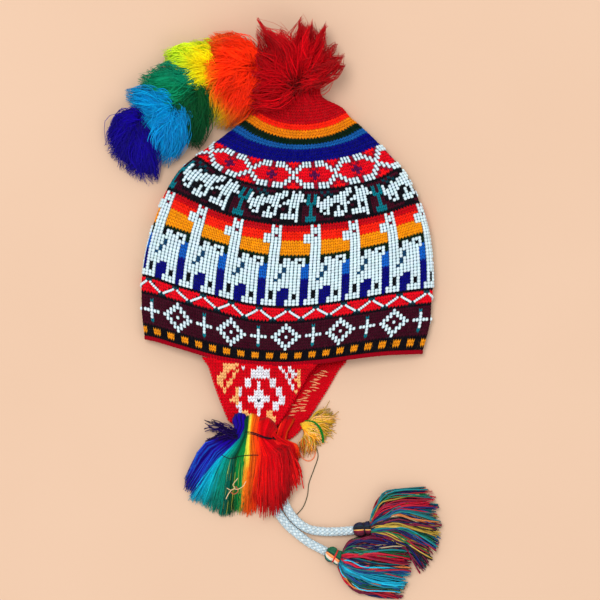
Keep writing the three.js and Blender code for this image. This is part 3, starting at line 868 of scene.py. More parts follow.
RED_EDGE = lin(156, 0, 23)
sec = [(1.2, 0.35), (1.75, 1.5), (1.75, 3.0), (1.0, 4.2), (-1.0, 4.2), (-1.6, 3.0), (-1.6, 1.5), (-1.2, 0.35)]
ring = np.stack([rim_point(o, d) for o, d in sec], 1)
ring[..., 2] = np.maximum(ring[..., 2], FLOOR)
f = grid_faces(EN + 1, len(sec), True)
f = f % (EN * len(sec))
uv = np.stack(np.broadcast_arrays(ue[:, None], (np.arange(len(sec)) / len(sec))[None]), -1).reshape(-1, 2)
# painted shade: the tube under the crochet stitches is the edging red darkened to 0.75, so the gaps between the
# stitches look shaded
edging.add(ring.reshape(-1, 3), f, np.tile(RED_EDGE * 0.75, (EN * len(sec), 1)), uv)
D = unit(np.roll(RIM_O, -1, 0) - np.roll(RIM_O, 1, 0))
for out, down, lean, long, wide in ((1.35, 1.4, 0.75, 1.55, 0.62), (1.3, 2.95, -0.75, 1.5, 0.62), (0.55, 4.0, 0.25, 1.75, 0.6),
                                    (-0.55, 4.0, -0.25, 1.75, 0.6), (-1.3, 2.6, 0.7, 1.7, 0.6)):
    at = rim_point(out, down) + rng.normal(0, 0.06, (EN, 3))
    nrm = RIM_OUT * np.sign(out) if abs(out) > 1 else unit(RIM_OUT * np.sign(out) * 0.5 - np.array([0, 1, 0]))
    down_dir = -np.array([0, 1.0, 0]) if abs(out) > 1 else unit(np.cross(D, nrm))
    leg = unit(D + down_dir * (lean + rng.normal(0, 0.08, (EN, 1))))
    nrm = unit(nrm - leg * (nrm * leg).sum(1, keepdims=True))
    side = unit(np.cross(leg, nrm))
    at[:, 2] = np.maximum(at[:, 2], 0.66)
    px = at[:, :1] / UNIT + 286.0                      # it takes the flap's red where the near flap starts
    k = smooth(200, 212, px) * (1 - smooth(296, 318, px)) * (at[:, 2:] > 8)
    tone = (RED_EDGE + (FLAP_RED * 0.86 - RED_EDGE) * k) * np.exp(rng.normal(0, 0.08, (EN, 1)))
    scatter(edging, FULL_V, FULL_F, FULL_UV, at, side * wide, leg * long, nrm * 0.6, tone, FULL_SHADE)
edging.build(KNIT, "red_crochet", ["rim_edging"])


# ------------------------------------------------------------------------- flaps

def rim_at(x, upper):
    k = np.arange(0, 481) / 960.0
    u = 0.25 + k if upper else 0.75 + k
    o, i = on(OUTER, np.zeros(481), u), on(INNER, np.zeros(481), u)
    if not upper:
        o, i = o[::-1], i[::-1]
    oy, oz = np.interp(x, o[:, 0], o[:, 1]), np.interp(x, o[:, 0], o[:, 2])
    iy, iz = np.interp(x, i[:, 0], i[:, 1]), np.interp(x, i[:, 0], i[:, 2])
    z = (oz + iz) / 2 if upper else np.full_like(oz, 1.75)
    return np.stack([x, np.minimum(oy, iy) - 4.2 - 1.0, z], -1)


FLAPS = {
    "near": dict(rim=(207.0, 312.0), tip=((229, 421), (278, 424)), side=(1.5, 1.5), tip_bow=7, high=8.0, upper=True, drop=3.2),
    "far": dict(rim=(238.0, 342.5), tip=((270, 431), (299, 431)), side=(2.0, 2.0), tip_bow=9, high=1.9, upper=False, drop=0.0),
}


def flap_at(spec, f, g):
    f, g = np.broadcast_arrays(np.asarray(f, float), np.asarray(g, float))
    x0, x1 = ((x - 286.0) * UNIT for x in spec["rim"])
    start = rim_at((x0 + (x1 - x0) * g).ravel(), spec["upper"]).reshape(f.shape + (3,))
    start = start + np.array([0, 1.4, 0]) * (1 - smooth(0, 0.06, f))[..., None]
    tl, tr = plan(spec["tip"][0]), plan(spec["tip"][1])
    end = tl + (tr - tl) * g[..., None]
    ey = end[..., 1] - spec["tip_bow"] * UNIT * (1 - (2 * g - 1) ** 2)
    out = UNIT * (-spec["side"][0] + (spec["side"][0] + spec["side"][1]) * g)
    flare = 5.0 * UNIT * (2 * g - 1) ** 3 * np.maximum(0, 1 - f / 0.16) ** 2      # rounded into the rim
    return np.stack([start[..., 0] * (1 - f) + end[..., 0] * f + out * np.sin(PI * f) + flare,
                     start[..., 1] * (1 - f) + ey * f,
                     spec["high"] + (start[..., 2] - spec["high"]) * (1 - f) ** (1.6 + spec["drop"] * smooth(0.55, 1, g))], -1)


# The near flap's motif: a cross in an eight-sided ring, with stepped corners. One letter is one stitch.
MOTIF_SPANS = """
w 1 15 16; w 2 13 18; w 3 13 18; w 4 13 18
w 5 11 12; w 6 11 12; w 7 11 12; w 5 19 20; w 6 19 20; w 7 19 20
o 8 8 8; w 8 9 9; o 9 8 8; w 9 9 9; o 10 8 8; w 10 9 9; w 8 21 22; w 9 21 22; w 10 21 22
o 11 7 8; o 12 6 8; o 13 8 8; w 11 22 23; w 12 22 23; w 13 22 23
w 13 9 9; w 14 8 9; w 15 9 9; w 16 9 9; w 13 20 21; w 14 20 21; w 15 20 21
o 16 10 11; o 17 10 12; o 18 11 12; o 16 18 19; o 17 18 19; o 18 18 20; o 19 19 20
w 6 15 15; w 7 15 15; w 8 15 15; w 9 14 16; w 10 14 16; w 11 12 18; w 12 12 18; k 12 15 15; w 13 14 16; w 14 14 16
w 15 15 15; w 16 15 15; w 17 15 15
o 0 4 8; o 1 4 7; w 1 10 10; o 2 4 5; o 2 8 8; o 3 3 4; o 3 7 7; o 4 2 4; o 4 7 7; o 5 2 3; o 5 6 6; o 6 2 3; o 6 5 6; o 7 3 3; o 7 5 5; o 8 4 4; o 9 4 4
w 1 22 22; w 1 25 25; w 2 23 23; w 2 25 26; w 3 24 24; w 3 26 27; w 4 24 24; w 4 26 26; w 5 25 25; w 6 25 25; w 7 26 26; w 8 26 26
o 2 28 28; o 3 28 28; o 4 28 28; o 5 27 28; o 6 28 29; o 7 28 29; o 8 28 28; o 9 27 27; o 10 27 27
"""
MOTIF = {}
for span in MOTIF_SPANS.replace("\n", ";").split(";"):
    if span.strip():
        letter, row, first, last = span.split()
        for c in range(int(first), int(last) + 1):
            MOTIF[int(row), c] = letter
MOTIF_TOP, MOTIF_LEFT = 363.0, 211.0

FLAP_OBJ = {}
for side, spec in FLAPS.items():
    base = Piece("ear_flap_" + side + "_cloth")
    trim = Piece("ear_flap_" + side + "_stitches")
    fr, gr = np.linspace(0, 1, 25), np.linspace(0, 1, 33)
    mid = flap_at(spec, fr[:, None], gr[None])
    n, k = len(fr), len(gr)
    du = np.gradient(mid, axis=1)
    dv = np.gradient(mid, axis=0)
    nrm = unit(np.cross(du, -dv))
    half = 0.95
    up, lo = mid + nrm * half, mid - nrm * half
    pts = np.concatenate([up.reshape(-1, 3), lo.reshape(-1, 3)])
    fs = [grid_faces(n, k, flip=True), grid_faces(n, k) + n * k]
    i = np.arange(n - 1)
    for c0, turn in ((0, False), (k - 1, True)):
        a, b = i * k + c0, (i + 1) * k + c0
        q = [np.stack([a, n * k + a, n * k + b], -1), np.stack([a, n * k + b, b], -1)]
        fs += [x[:, ::-1] if turn else x for x in q]
    i = np.arange(k - 1)
    for r0, turn in ((0, True), (n - 1, False)):
        a, b = r0 * k + i, r0 * k + i + 1
        q = [np.stack([a, n * k + a, n * k + b], -1), np.stack([a, n * k + b, b], -1)]
        fs += [x[:, ::-1] if turn else x for x in q]
    fs = np.concatenate(fs)
    vol = np.einsum("ij,ij->i", pts[fs[:, 0]], np.cross(pts[fs[:, 1]], pts[fs[:, 2]])).sum()
    if vol < 0:
        fs = fs[:, ::-1]
    uv = np.stack(np.broadcast_arrays(gr[None], fr[:, None]), -1).reshape(-1, 2) * np.array([1, 0.48])
    # painted shade: the cloth under the stitches is the flap red darkened to 0.8, so the gaps between the stitches look
    # shaded
    base.add(pts, fs, np.tile(FLAP_RED * 0.8, (2 * n * k, 1)), np.r_[uv, uv + np.array([0, 0.5])])

    # stitches on a square grid over the flap, both faces
    dense_f, dense_g = np.linspace(0, 1, 140), np.linspace(0, 1, 200)
    dense = flap_at(spec, dense_f[:, None], dense_g[None])
    dn = unit(np.cross(np.gradient(dense, axis=1), -np.gradient(dense, axis=0)))
    flat_xy = dense[..., :2].reshape(-1, 2)
    rh = 2.96
    cols = np.arange(-18, 42)
    rows = np.arange(-3, 30)
    cw = 3.08
    gx = MOTIF_LEFT + (cols[None] + 0.5) * cw + 0 * rows[:, None]
    gy = MOTIF_TOP + (rows[:, None] + 0.5) * rh + 0 * cols[None]
    if side == "far":
        gx = gx + 30
    want = plan(np.stack([gx, gy], -1)).reshape(-1, 2)
    ids = np.concatenate([((flat_xy[None] - w[:, None]) ** 2).sum(2).argmin(1) for w in np.array_split(want, 60)])
    miss = np.linalg.norm(flat_xy[ids] - want, axis=1)
    ff, gg = dense_f[ids // 200], dense_g[ids % 200]
    ok = (miss < 0.75) & (gg > 0.03) & (gg < 0.97) & (ff < 0.985)
    C, N = dense.reshape(-1, 3)[ids][ok], dn.reshape(-1, 3)[ids][ok]
    ci = np.tile(cols, len(rows))[ok]
    ri = np.repeat(rows, len(cols))[ok]
    m = len(C)
    U = np.tile([1.0, 0, 0], (m, 1))
    U = unit(U - N * (U * N).sum(1, keepdims=True))
    V = np.cross(N, U)
    w, h = cw * UNIT, rh * UNIT
    colour = np.tile(FLAP_RED, (m, 1))
    if side == "near":
        for q in range(m):
            if (ri[q], ci[q]) in MOTIF:
                colour[q] = {"w": FLAP_WHITE, "o": PEACH, "k": lin(40, 20, 40)}[MOTIF[ri[q], ci[q]]]
    jit = np.exp(rng.normal(0, 0.07, (m, 1)))
    for face in (1, -1):
        Nf = N * face
        Uf = U * face
        knit_side = (face == 1) if side == "near" else (face == -1)
        tone = colour * jit if side == "near" or face == -1 else np.tile(FLAP_RED, (m, 1)) * jit
        if knit_side:
            for hand in (-1, 1):
                lean = np.radians(12 + rng.normal(0, 3.0, (m, 1)))
                leg = unit(V * np.cos(lean) + hand * Uf * np.sin(lean) - Nf * 0.1)
                across = unit(Uf * np.cos(lean) - hand * V * np.sin(lean))
                at = C + Uf * (hand * 0.245 * w) + Nf * 0.98 + rng.normal(0, 0.05, (m, 3))
                big = np.where((colour != FLAP_RED).any(1), 1.14, 1.0)[:, None]
                scatter(trim, LEG_V, LEG_F, LEG_UV, at + Nf * (0.5 * (big - 1)), across * (0.31 * w * big), leg * (1.02 * h * big),
                        unit(np.cross(across, leg)) * 0.66, tone, LEG_SHADE)
        else:
            tone = np.tile(FLAP_RED, (m, 1)) * jit * 0.96
            for step in (0.0, 0.5):
                arch = 0.22 if step else -0.22
                at = C + V * (h * (step - 0.25)) + Uf * (0.5 * w * step) + Nf * 0.98 + rng.normal(0, 0.05, (m, 3))
                leg = unit(Uf + V * arch)
                across = unit(np.cross(leg, Nf))
                scatter(trim, LEG_V, LEG_F, LEG_UV, at, across * (0.24 * h), leg * (0.52 * w),
                        unit(np.cross(across, leg)) * 0.62, tone, LEG_SHADE)
    # crocheted border round the sides and the tip
    s = np.linspace(0, 1, 400)
    line = np.concatenate([flap_at(spec, s * 0.985 + 0.015, np.zeros(400)), flap_at(spec, np.ones(400), s),
                           flap_at(spec, s[::-1] * 0.985 + 0.015, np.ones(400))])
    d = np.r_[0, np.cumsum(np.linalg.norm(np.diff(line, axis=0), axis=1))]
    count = int(d[-1] / 3.0)
    at0 = polyline(line, (np.arange(count) + 0.5) / count)
    D = unit(np.gradient(at0, axis=0))
    centre = mid.reshape(-1, 3).mean(0)
    N0 = np.tile([0.0, 0, 1.0], (count, 1))
    N0 = unit(N0 - D * (N0 * D).sum(1, keepdims=True))
    O = np.cross(D, N0)
    O = O * np.sign((O * (at0 - centre)).sum(1, keepdims=True))
    for lift, out, lean, long in ((0.95, -1.3, 0.55, 1.9), (0.55, 0.35, -0.5, 1.8), (-0.55, 0.35, 0.5, 1.8), (-0.95, -1.3, -0.55, 1.9)):
        nn = unit(N0 * np.sign(lift) * (1.0 if abs(lift) > 0.8 else 0.55) + O * (0.0 if abs(lift) > 0.8 else 0.8))
        leg = unit(D + O * lean + rng.normal(0, 0.05, (count, 3)))
        nn = unit(nn - leg * (nn * leg).sum(1, keepdims=True))
        sidev = np.cross(leg, nn)
        tone = lin(220, 0, 26) * np.exp(rng.normal(0, 0.06, (count, 1)))
        at = at0 + N0 * lift + O * out
        scatter(trim, FULL_V, FULL_F, FULL_UV, at, sidev * 0.72, leg * long, nn * 0.6, tone, FULL_SHADE)
    if side == "far":
        # ends of the pattern yarn carried across the wrong side
        spots = [((320, 371), (327, 376), 5, -0.16), ((311, 375), (320, 390), 13, -0.10), ((304, 391), (311, 396), 4, 0.08),
                 ((297, 397), (307, 412), 12, 0.02), ((291, 406), (296, 415), 5, 0.06)]
        for (xa, ya), (xb, yb), q, slope in spots:
            px = np.stack([rng.uniform(xa, xb, q), np.linspace(ya, yb, q) + rng.normal(0, 0.6, q)], -1)
            px[:, 0] = 0.72 * px[:, 0] + 0.28 * np.linspace(xb, xa, q)
            want = plan(px)
            ids = ((flat_xy[None] - want[:, None]) ** 2).sum(2).argmin(1)
            C, N = dense.reshape(-1, 3)[ids], dn.reshape(-1, 3)[ids]
            Uq = unit(np.tile([1.0, 0.0, 0], (q, 1)) + np.c_[np.zeros(q), rng.normal(slope, 0.10, q), np.zeros(q)])
            Uq = unit(Uq - N * (Uq * N).sum(1, keepdims=True))
            sv = np.cross(Uq, N)
            tone = lin(238, 152, 108) * np.exp(rng.normal(0, 0.1, (q, 1)))
            scatter(trim, FULL_V, FULL_F, FULL_UV, C + N * 1.45, sv * 0.62, Uq * rng.uniform(2.4, 4.2, (q, 1)), N * 0.55, tone, FULL_SHADE)
    cloth = base.build(KNIT, "red_knit", ["ear_flap_" + side])
    cover = trim.build(KNIT, "red_knit")
    area = float(np.linalg.norm(np.cross(mid[1:, :-1] - mid[:-1, :-1], mid[:-1, 1:] - mid[:-1, :-1]), axis=-1).sum())
    wide = float(np.linalg.norm(mid[0, -1] - mid[0, 0]))
    long = float(np.linalg.norm(np.diff(mid[:, k // 2], axis=0), axis=-1).sum())
    FLAP_OBJ[side] = (cloth, cover, wide, long, area)


# --------------------------------------------------------------- tufts and fringes

def fan(name, root, root_z, tips, high, count, seed, colour, slot, replaces, clumps=150, thick=0.37, segments=6,
        core=0.88, root_width=6.0, gather=0.014, core_painted_shade=0.95, stray=0.02, low=0.3, swirl=0.24, short=0.4, reach=(0.9, 1.03), spikes=False, turn=0.075, full=0.80, lift=1.0, frizz=0.32, vary=0.13,
        under=0.0, core_round=6.0):
    """A tuft tied at one point: yarn ends lie from the root outwards over a low dome, one over the other,
    cut at different lengths. tips is its outline in plan, colour(s, f, r) the yarn's colour along the
    outline and along the yarn. gather says how closely a clump's ends meet."""
    r = np.random.default_rng(seed)
    p = Piece(name)
    R = plan(root)
    line = plan(np.array(tips, float))

    def top(rho):
        rise = root_z + (high - root_z) * smooth(0, 0.34, rho)
        fall = np.sqrt(np.maximum(1 - np.clip((rho - 0.25) / full, 0, 1) ** 2.3, 0.0))
        return rise * np.maximum(fall, 0.05)

    cs = (np.arange(clumps) + r.uniform(0, 1, clumps)) / clumps
    r.shuffle(cs)
    is_short = r.uniform(0, 1, clumps) < short
    if spikes:                                        # long locks end at the outline's points
        fine = np.linspace(0, 1, 481)
        out = np.linalg.norm(polyline(line, fine) - R, axis=1)
        peak = fine[1:-1][(out[1:-1] > out[:-2]) & (out[1:-1] >= out[2:])]
        nearest = peak[np.abs(cs[:, None] - peak[None]).argmin(1)]
        pull = (~is_short) & (np.abs(nearest - cs) < 0.05) & (r.uniform(0, 1, clumps) < 0.65)
        cs = np.where(pull, nearest + r.normal(0, 0.005, clumps), cs)
    c1 = np.where(is_short, r.uniform(0.42, reach[0], clumps), r.uniform(reach[0], reach[1], clumps))
    c0 = np.clip(c1 - r.uniform(0.42, 0.72, clumps), 0.02, 0.42)
    cl = np.where(is_short, np.sqrt(r.uniform(0.62, 1, clumps)), np.sqrt(r.uniform(0.02, 1, clumps)))
    if under:                                         # locks that lie low, down to the table
        cl = np.where(~is_short & (r.uniform(0, 1, clumps) < under), r.uniform(0.03, 0.6, clumps), cl)
    ctone = np.exp(r.normal(0, vary, clumps))
    cbend = r.normal(0, 1.0, clumps)
    which = r.integers(0, clumps, count)
    s1 = np.clip(cs[which] + r.normal(0, gather, count), 0, 1)
    cturn = r.normal(0, turn, clumps)                  # locks lie across one another
    s0 = np.clip(cs[which] + cturn[which] + r.normal(0, 0.035, count), 0, 1)
    f1 = np.clip(c1[which] + r.normal(0, 0.035, count), 0.3, 1.05)
    f0 = np.clip(c0[which] + r.normal(0, 0.06, count), 0.0, 0.5)
    lv = np.clip(cl[which] + r.normal(0, 0.05, count), 0.05, 1.04)
    far = r.uniform(0, 1, count) < stray
    f1 = np.where(far, r.uniform(1.0, 1.1, count), f1)
    start = R + (polyline(line, s0) - R) * f0[:, None] + r.normal(0, 1, (count, 2)) * (root_width * (1 - f0))[:, None] * 0.5
    tip = R + (polyline(line, s1) - R) * f1[:, None]
    tau = np.linspace(0, 1, segments)[None]
    d = tip - start
    perp = np.stack([-d[:, 1], d[:, 0]], -1)
    bend = swirl * 0.6 * cbend[which] + r.normal(0, swirl * 0.4, count)
    flat = start[:, None] + d[:, None] * tau[..., None] + perp[:, None] * (bend[:, None] * np.sin(PI * tau))[..., None]
    flat = flat + r.normal(0, frizz, (count, segments, 2)) * smooth(0.2, 1, tau)[..., None]
    rho = np.clip(f0[:, None] + (f1 - f0)[:, None] * tau, 0, 1)
    z = low + lv[:, None] * top(rho) + r.normal(0, 0.9, count)[:, None] * tau ** 2 + r.normal(0, 0.3, (count, segments))
    path = np.concatenate([flat, z[..., None]], -1)
    rad = thick * (0.8 + 0.4 * r.uniform(0, 1, (count, 1))) * (0.75 + 0.25 * smooth(0, 0.3, tau)) * (1 - 0.5 * smooth(0.6, 1.0, tau))
    rad = np.where(far[:, None], rad * 0.6, rad)
    c = colour(np.repeat(s1[:, None], segments, 1), rho, r)
    # painted shade: yarn lying lower in the tuft, under the others, is darker (0.82 to 1 by its level)
    tone = lift * ctone[which] * np.exp(r.normal(0, 0.06, count)) * (0.82 + 0.18 * np.clip(lv, 0, 1))
    strands(p, path, rad, c * tone[:, None, None])
    # what lies under them: a core in the tuft's colours, darkened as painted shade between the strands
    ns, nr = 44, 12
    ss, rr = np.linspace(0, 1, ns), np.linspace(0.02, 1, nr)
    edge = polyline(line, ss)
    if spikes:
        far_ = np.linalg.norm(edge - R, axis=1)
        even = np.convolve(np.pad(far_, 4, mode="edge"), np.ones(9) / 9, "valid")
        edge = R + (edge - R) * (np.minimum(even, far_ * 1.05) / far_)[:, None]
    xy = R + (edge - R)[None] * (rr[:, None, None] * core)
    zt = np.maximum(low + 0.9 * top(rr * core) * np.sqrt(np.maximum(1 - rr ** core_round, 0)), low + 0.5)
    zt = zt[:, None] * (1 + 0.06 * np.sin(ss * 37 + 1.3)[None] * np.sin(ss * 17)[None])
    up = np.concatenate([xy, zt[..., None]], -1)
    dn = np.concatenate([xy, np.full((nr, ns, 1), low)], -1)
    pts = np.concatenate([up.reshape(-1, 3), dn.reshape(-1, 3)])
    k = nr * ns
    fs = [grid_faces(nr, ns), grid_faces(nr, ns, flip=True) + k]
    i = np.arange(ns - 1)
    for r0, back in ((0, False), (nr - 1, True)):
        a, b = r0 * ns + i, r0 * ns + i + 1
        q = [np.stack([a, b, k + b], -1), np.stack([a, k + b, k + a], -1)]
        fs += [x[:, ::-1] if back else x for x in q]
    i = np.arange(nr - 1)
    for c0_, back in ((0, True), (ns - 1, False)):
        a, b = i * ns + c0_, (i + 1) * ns + c0_
        q = [np.stack([a, b, k + b], -1), np.stack([a, k + b, k + a], -1)]
        fs += [x[:, ::-1] if back else x for x in q]
    fs = np.concatenate(fs)
    vol = np.einsum("ij,ij->i", pts[fs[:, 0]], np.cross(pts[fs[:, 1]], pts[fs[:, 2]])).sum()
    if vol < 0:
        fs = fs[:, ::-1]
    # painted shade: the core takes the yarn's colour darkened (0.95, on the pompom 0.72), so what shows between the
    # strands looks shaded
    cc = colour(np.broadcast_to(ss[None], (nr, ns)), np.broadcast_to(rr[:, None], (nr, ns)), r) * core_painted_shade
    cc = np.concatenate([cc.reshape(-1, 3)] * 2)
    uv = np.stack(np.broadcast_arrays(ss[None], rr[:, None]), -1).reshape(-1, 2) * np.array([1, 0.48])
    p.add(pts, fs, cc, np.r_[uv, uv + np.array([0, 0.5])])
    return p, lambda: p.build(TUFT, slot, replaces)


def blend(stops, x):
    """A colour ramp over x."""
    at = [a for a, _ in stops]
    return np.stack([np.interp(x, at, [c[k] for _, c in stops]) for k in range(3)], -1)


def one_colour(c, drift=0.12, toward=None):
    toward = c * 0.6 if toward is None else toward
    return lambda s, f, r: c + (toward - c) * (r.uniform(0, drift, s.shape[:1] + (1,)) * np.ones(s.shape))[..., None]


TUFT_RED, TUFT_DEEP = lin(214, 0, 16), lin(164, 0, 12)
p, go = fan("crown_pompom_yarn", (298, 86), 20.0,
            [(264, 119), (255, 116), (248, 112), (249, 103), (244, 94), (249, 84), (246, 72), (252, 62), (249, 50), (257, 44),
             (258, 20), (267, 36), (271, 31), (276, 39), (281, 27), (288, 40), (294, 33), (298, 24), (302, 18), (308, 31),
             (313, 20), (317, 32), (325, 25), (329, 40), (336, 45), (335, 54), (343, 56), (339, 63), (344, 66), (338, 71),
             (339, 77), (329, 79), (325, 84), (318, 89)],
            50.0, 2290, 101, one_colour(TUFT_RED, 0.8, TUFT_DEEP), "yarn_red", ["crown_pompom"], clumps=175, root_width=9, gather=0.008,
            reach=(0.84, 1.03), swirl=0.2, spikes=True, stray=0.015, turn=0.05, full=0.93, vary=0.19,
            core=0.78, core_round=2.8, core_painted_shade=0.72, under=0.34)
# the neck, gathered up into the pompom
r = np.random.default_rng(111)
nk = 150
un = (np.arange(nk) + r.uniform(-0.4, 0.4, nk)) / nk
tn = r.uniform(0.93, 0.97, nk)
low_, end_ = on(OUTER, tn, un) - 1.5 * axes_on(OUTER, tn, un)[2], on(OUTER, np.ones(nk), un)
in_, up_ = plan((299.5, 88.0)), plan((299.0, 80.0))
way_ = np.stack([
    low_, end_,
    np.stack([in_[0] + (end_[:, 0] - in_[0]) * 0.94, np.full(nk, in_[1]), 11 + (end_[:, 2] - 11) * 0.94], -1),
    np.stack([up_[0] + (end_[:, 0] - up_[0]) * 0.70, np.full(nk, up_[1]), 12 + (end_[:, 2] - 11) * 0.72], -1)], 1)
way_[:, 1:] += r.normal(0, 0.4, (nk, 3, 3))
way_ = np.stack([along(w_, np.linspace(0, 1, 7)) for w_ in way_])
way_[..., 2] = np.maximum(way_[..., 2], 1.2)
strands(p, way_, (0.55 + 0.4 * smooth(0, 0.4, np.linspace(0, 1, 7)))[None] * r.uniform(0.8, 1.2, (nk, 1)),
        np.repeat((CRIMSON * np.exp(r.normal(-0.08, 0.12, (nk, 1))))[:, None], 7, 1))
# long locks that stand out of it: from, over, to, and how light
for a_, b_, c_, n_, light in (((288, 66), (273, 45), (257.5, 19), 30, 1.0), ((281, 56), (272, 41), (268, 31), 16, 0.85),
                              ((297, 62), (299, 42), (300, 19), 22, 1.0), ((301, 60), (306, 42), (309, 23), 18, 0.9),
                              ((307, 62), (317, 44), (326, 25), 22, 1.05), ((312, 68), (328, 61), (343, 57), 16, 0.9)):
    keys = np.stack([np.c_[plan(np.array(a_)) + r.normal(0, 2.4, (n_, 2)), r.uniform(38, 47, n_)],
                     np.c_[plan(np.array(b_)) + r.normal(0, 1.7, (n_, 2)), r.uniform(27, 38, n_)],
                     np.c_[plan(np.array(c_)) + r.normal(0, 0.8, (n_, 2)), r.uniform(14, 26, n_)]], 1)
    keys[:, 2] = keys[:, 1] + (keys[:, 2] - keys[:, 1]) * r.uniform(0.72, 1.04, (n_, 1))
    lock = np.stack([along(k_, np.linspace(0, 1, 6)) for k_ in keys]) + r.normal(0, 0.25, (n_, 6, 3))
    strands(p, lock, 0.4 * (1 - 0.5 * smooth(0.6, 1, np.linspace(0, 1, 6)))[None] * r.uniform(0.8, 1.2, (n_, 1)),
            np.repeat((TUFT_RED * light * 0.86 * np.exp(r.normal(0, 0.12, (n_, 1))))[:, None], 6, 1))
go()


def orange_tone(s, f, r):
    side = blend([(0.0, lin(255, 80, 24)), (0.25, lin(255, 104, 14)), (0.36, lin(255, 150, 10)), (0.50, lin(255, 186, 10)), (0.62, lin(246, 200, 10)),
                  (0.72, lin(190, 204, 20)), (0.82, lin(255, 110, 14)), (1.0, lin(250, 34, 16))], s)
    root = lin(255, 48, 5)
    k = smooth(0.66, 1.0, f)[..., None]
    return root * (1 - k) + side * k


p, go = fan("tail_tuft_orange_yarn", (260, 64), 22.0,
            [(251, 39), (240, 37), (233, 31), (225, 35), (214, 33), (206, 40), (200, 44), (202, 56), (197, 66), (202, 76), (199, 88), (204, 98), (205, 110),
             (212, 117), (215, 126), (227, 127), (238, 123), (247, 112), (252, 98)],
            38.0, 1500, 102, orange_tone, "yarn_orange", ["tail_tuft_orange"], clumps=80, root_width=10, lift=1.14, gather=0.022, frizz=0.45)
go()


def lime_tone(s, f, r):
    k = smooth(0.3, 0.85, f)[..., None]
    return lin(255, 226, 0) * (1 - k) + blend([(0, lin(232, 244, 16)), (0.5, lin(206, 250, 44)), (1, lin(238, 240, 6))], s) * k


p, go = fan("tail_tuft_lime_yarn", (215, 65), 12.0,
            [(208, 38), (196, 40), (184, 43), (174, 46), (164, 51), (165, 61), (170, 72), (174, 82), (178, 91), (192, 92), (207, 95)],
            27.0, 800, 103, lime_tone, "yarn_lime", ["tail_tuft_lime"], clumps=46, root_width=9, lift=1.08, gather=0.022, frizz=0.45)
go()


def green_tone(s, f, r):
    return blend([(0.0, lin(8, 150, 116)), (0.3, lin(4, 142, 94)), (0.5, lin(2, 92, 52)), (0.75, lin(0, 84, 42)), (1.0, lin(4, 98, 40))], s)


p, go = fan("tail_tuft_green_yarn", (199, 86), 11.0,
            [(184, 62), (167, 63), (155, 65), (147, 71), (140, 78), (140, 90), (150, 102), (165, 114), (176, 130), (183, 145),
             (190, 149), (198, 150), (205, 139), (211, 120), (210, 100)],
            26.0, 1150, 104, green_tone, "yarn_green", ["tail_tuft_green"], clumps=60, root_width=9, gather=0.022, frizz=0.45)
go()

p, go = fan("tail_tuft_blue_yarn", (180, 103), 10.0,
            [(156, 89), (140, 88), (127, 90), (128, 104), (136, 113), (141, 121), (136, 135), (148, 144), (153, 153), (158, 162),
             (169, 165), (179, 158), (186, 138), (189, 118)],
            26.5, 1150, 105, one_colour(lin(0, 172, 234), 0.7, lin(4, 132, 214)), "yarn_blue", ["tail_tuft_blue"], clumps=60, root_width=9, gather=0.022, frizz=0.45)
go()

p, go = fan("tail_tuft_indigo_yarn", (140, 117), 6.0,
            [(131, 109), (120, 112), (111, 121), (107, 134), (106, 145), (112, 156), (117, 165), (127, 171), (137, 177), (146, 181),
             (156, 181), (158, 171), (154, 157), (145, 142)],
            19.0, 1150, 106, one_colour(lin(22, 0, 164), 0.7, lin(10, 0, 108)), "yarn_indigo", ["tail_tuft_indigo"], clumps=60, root_width=9, gather=0.02, frizz=0.4)
go()


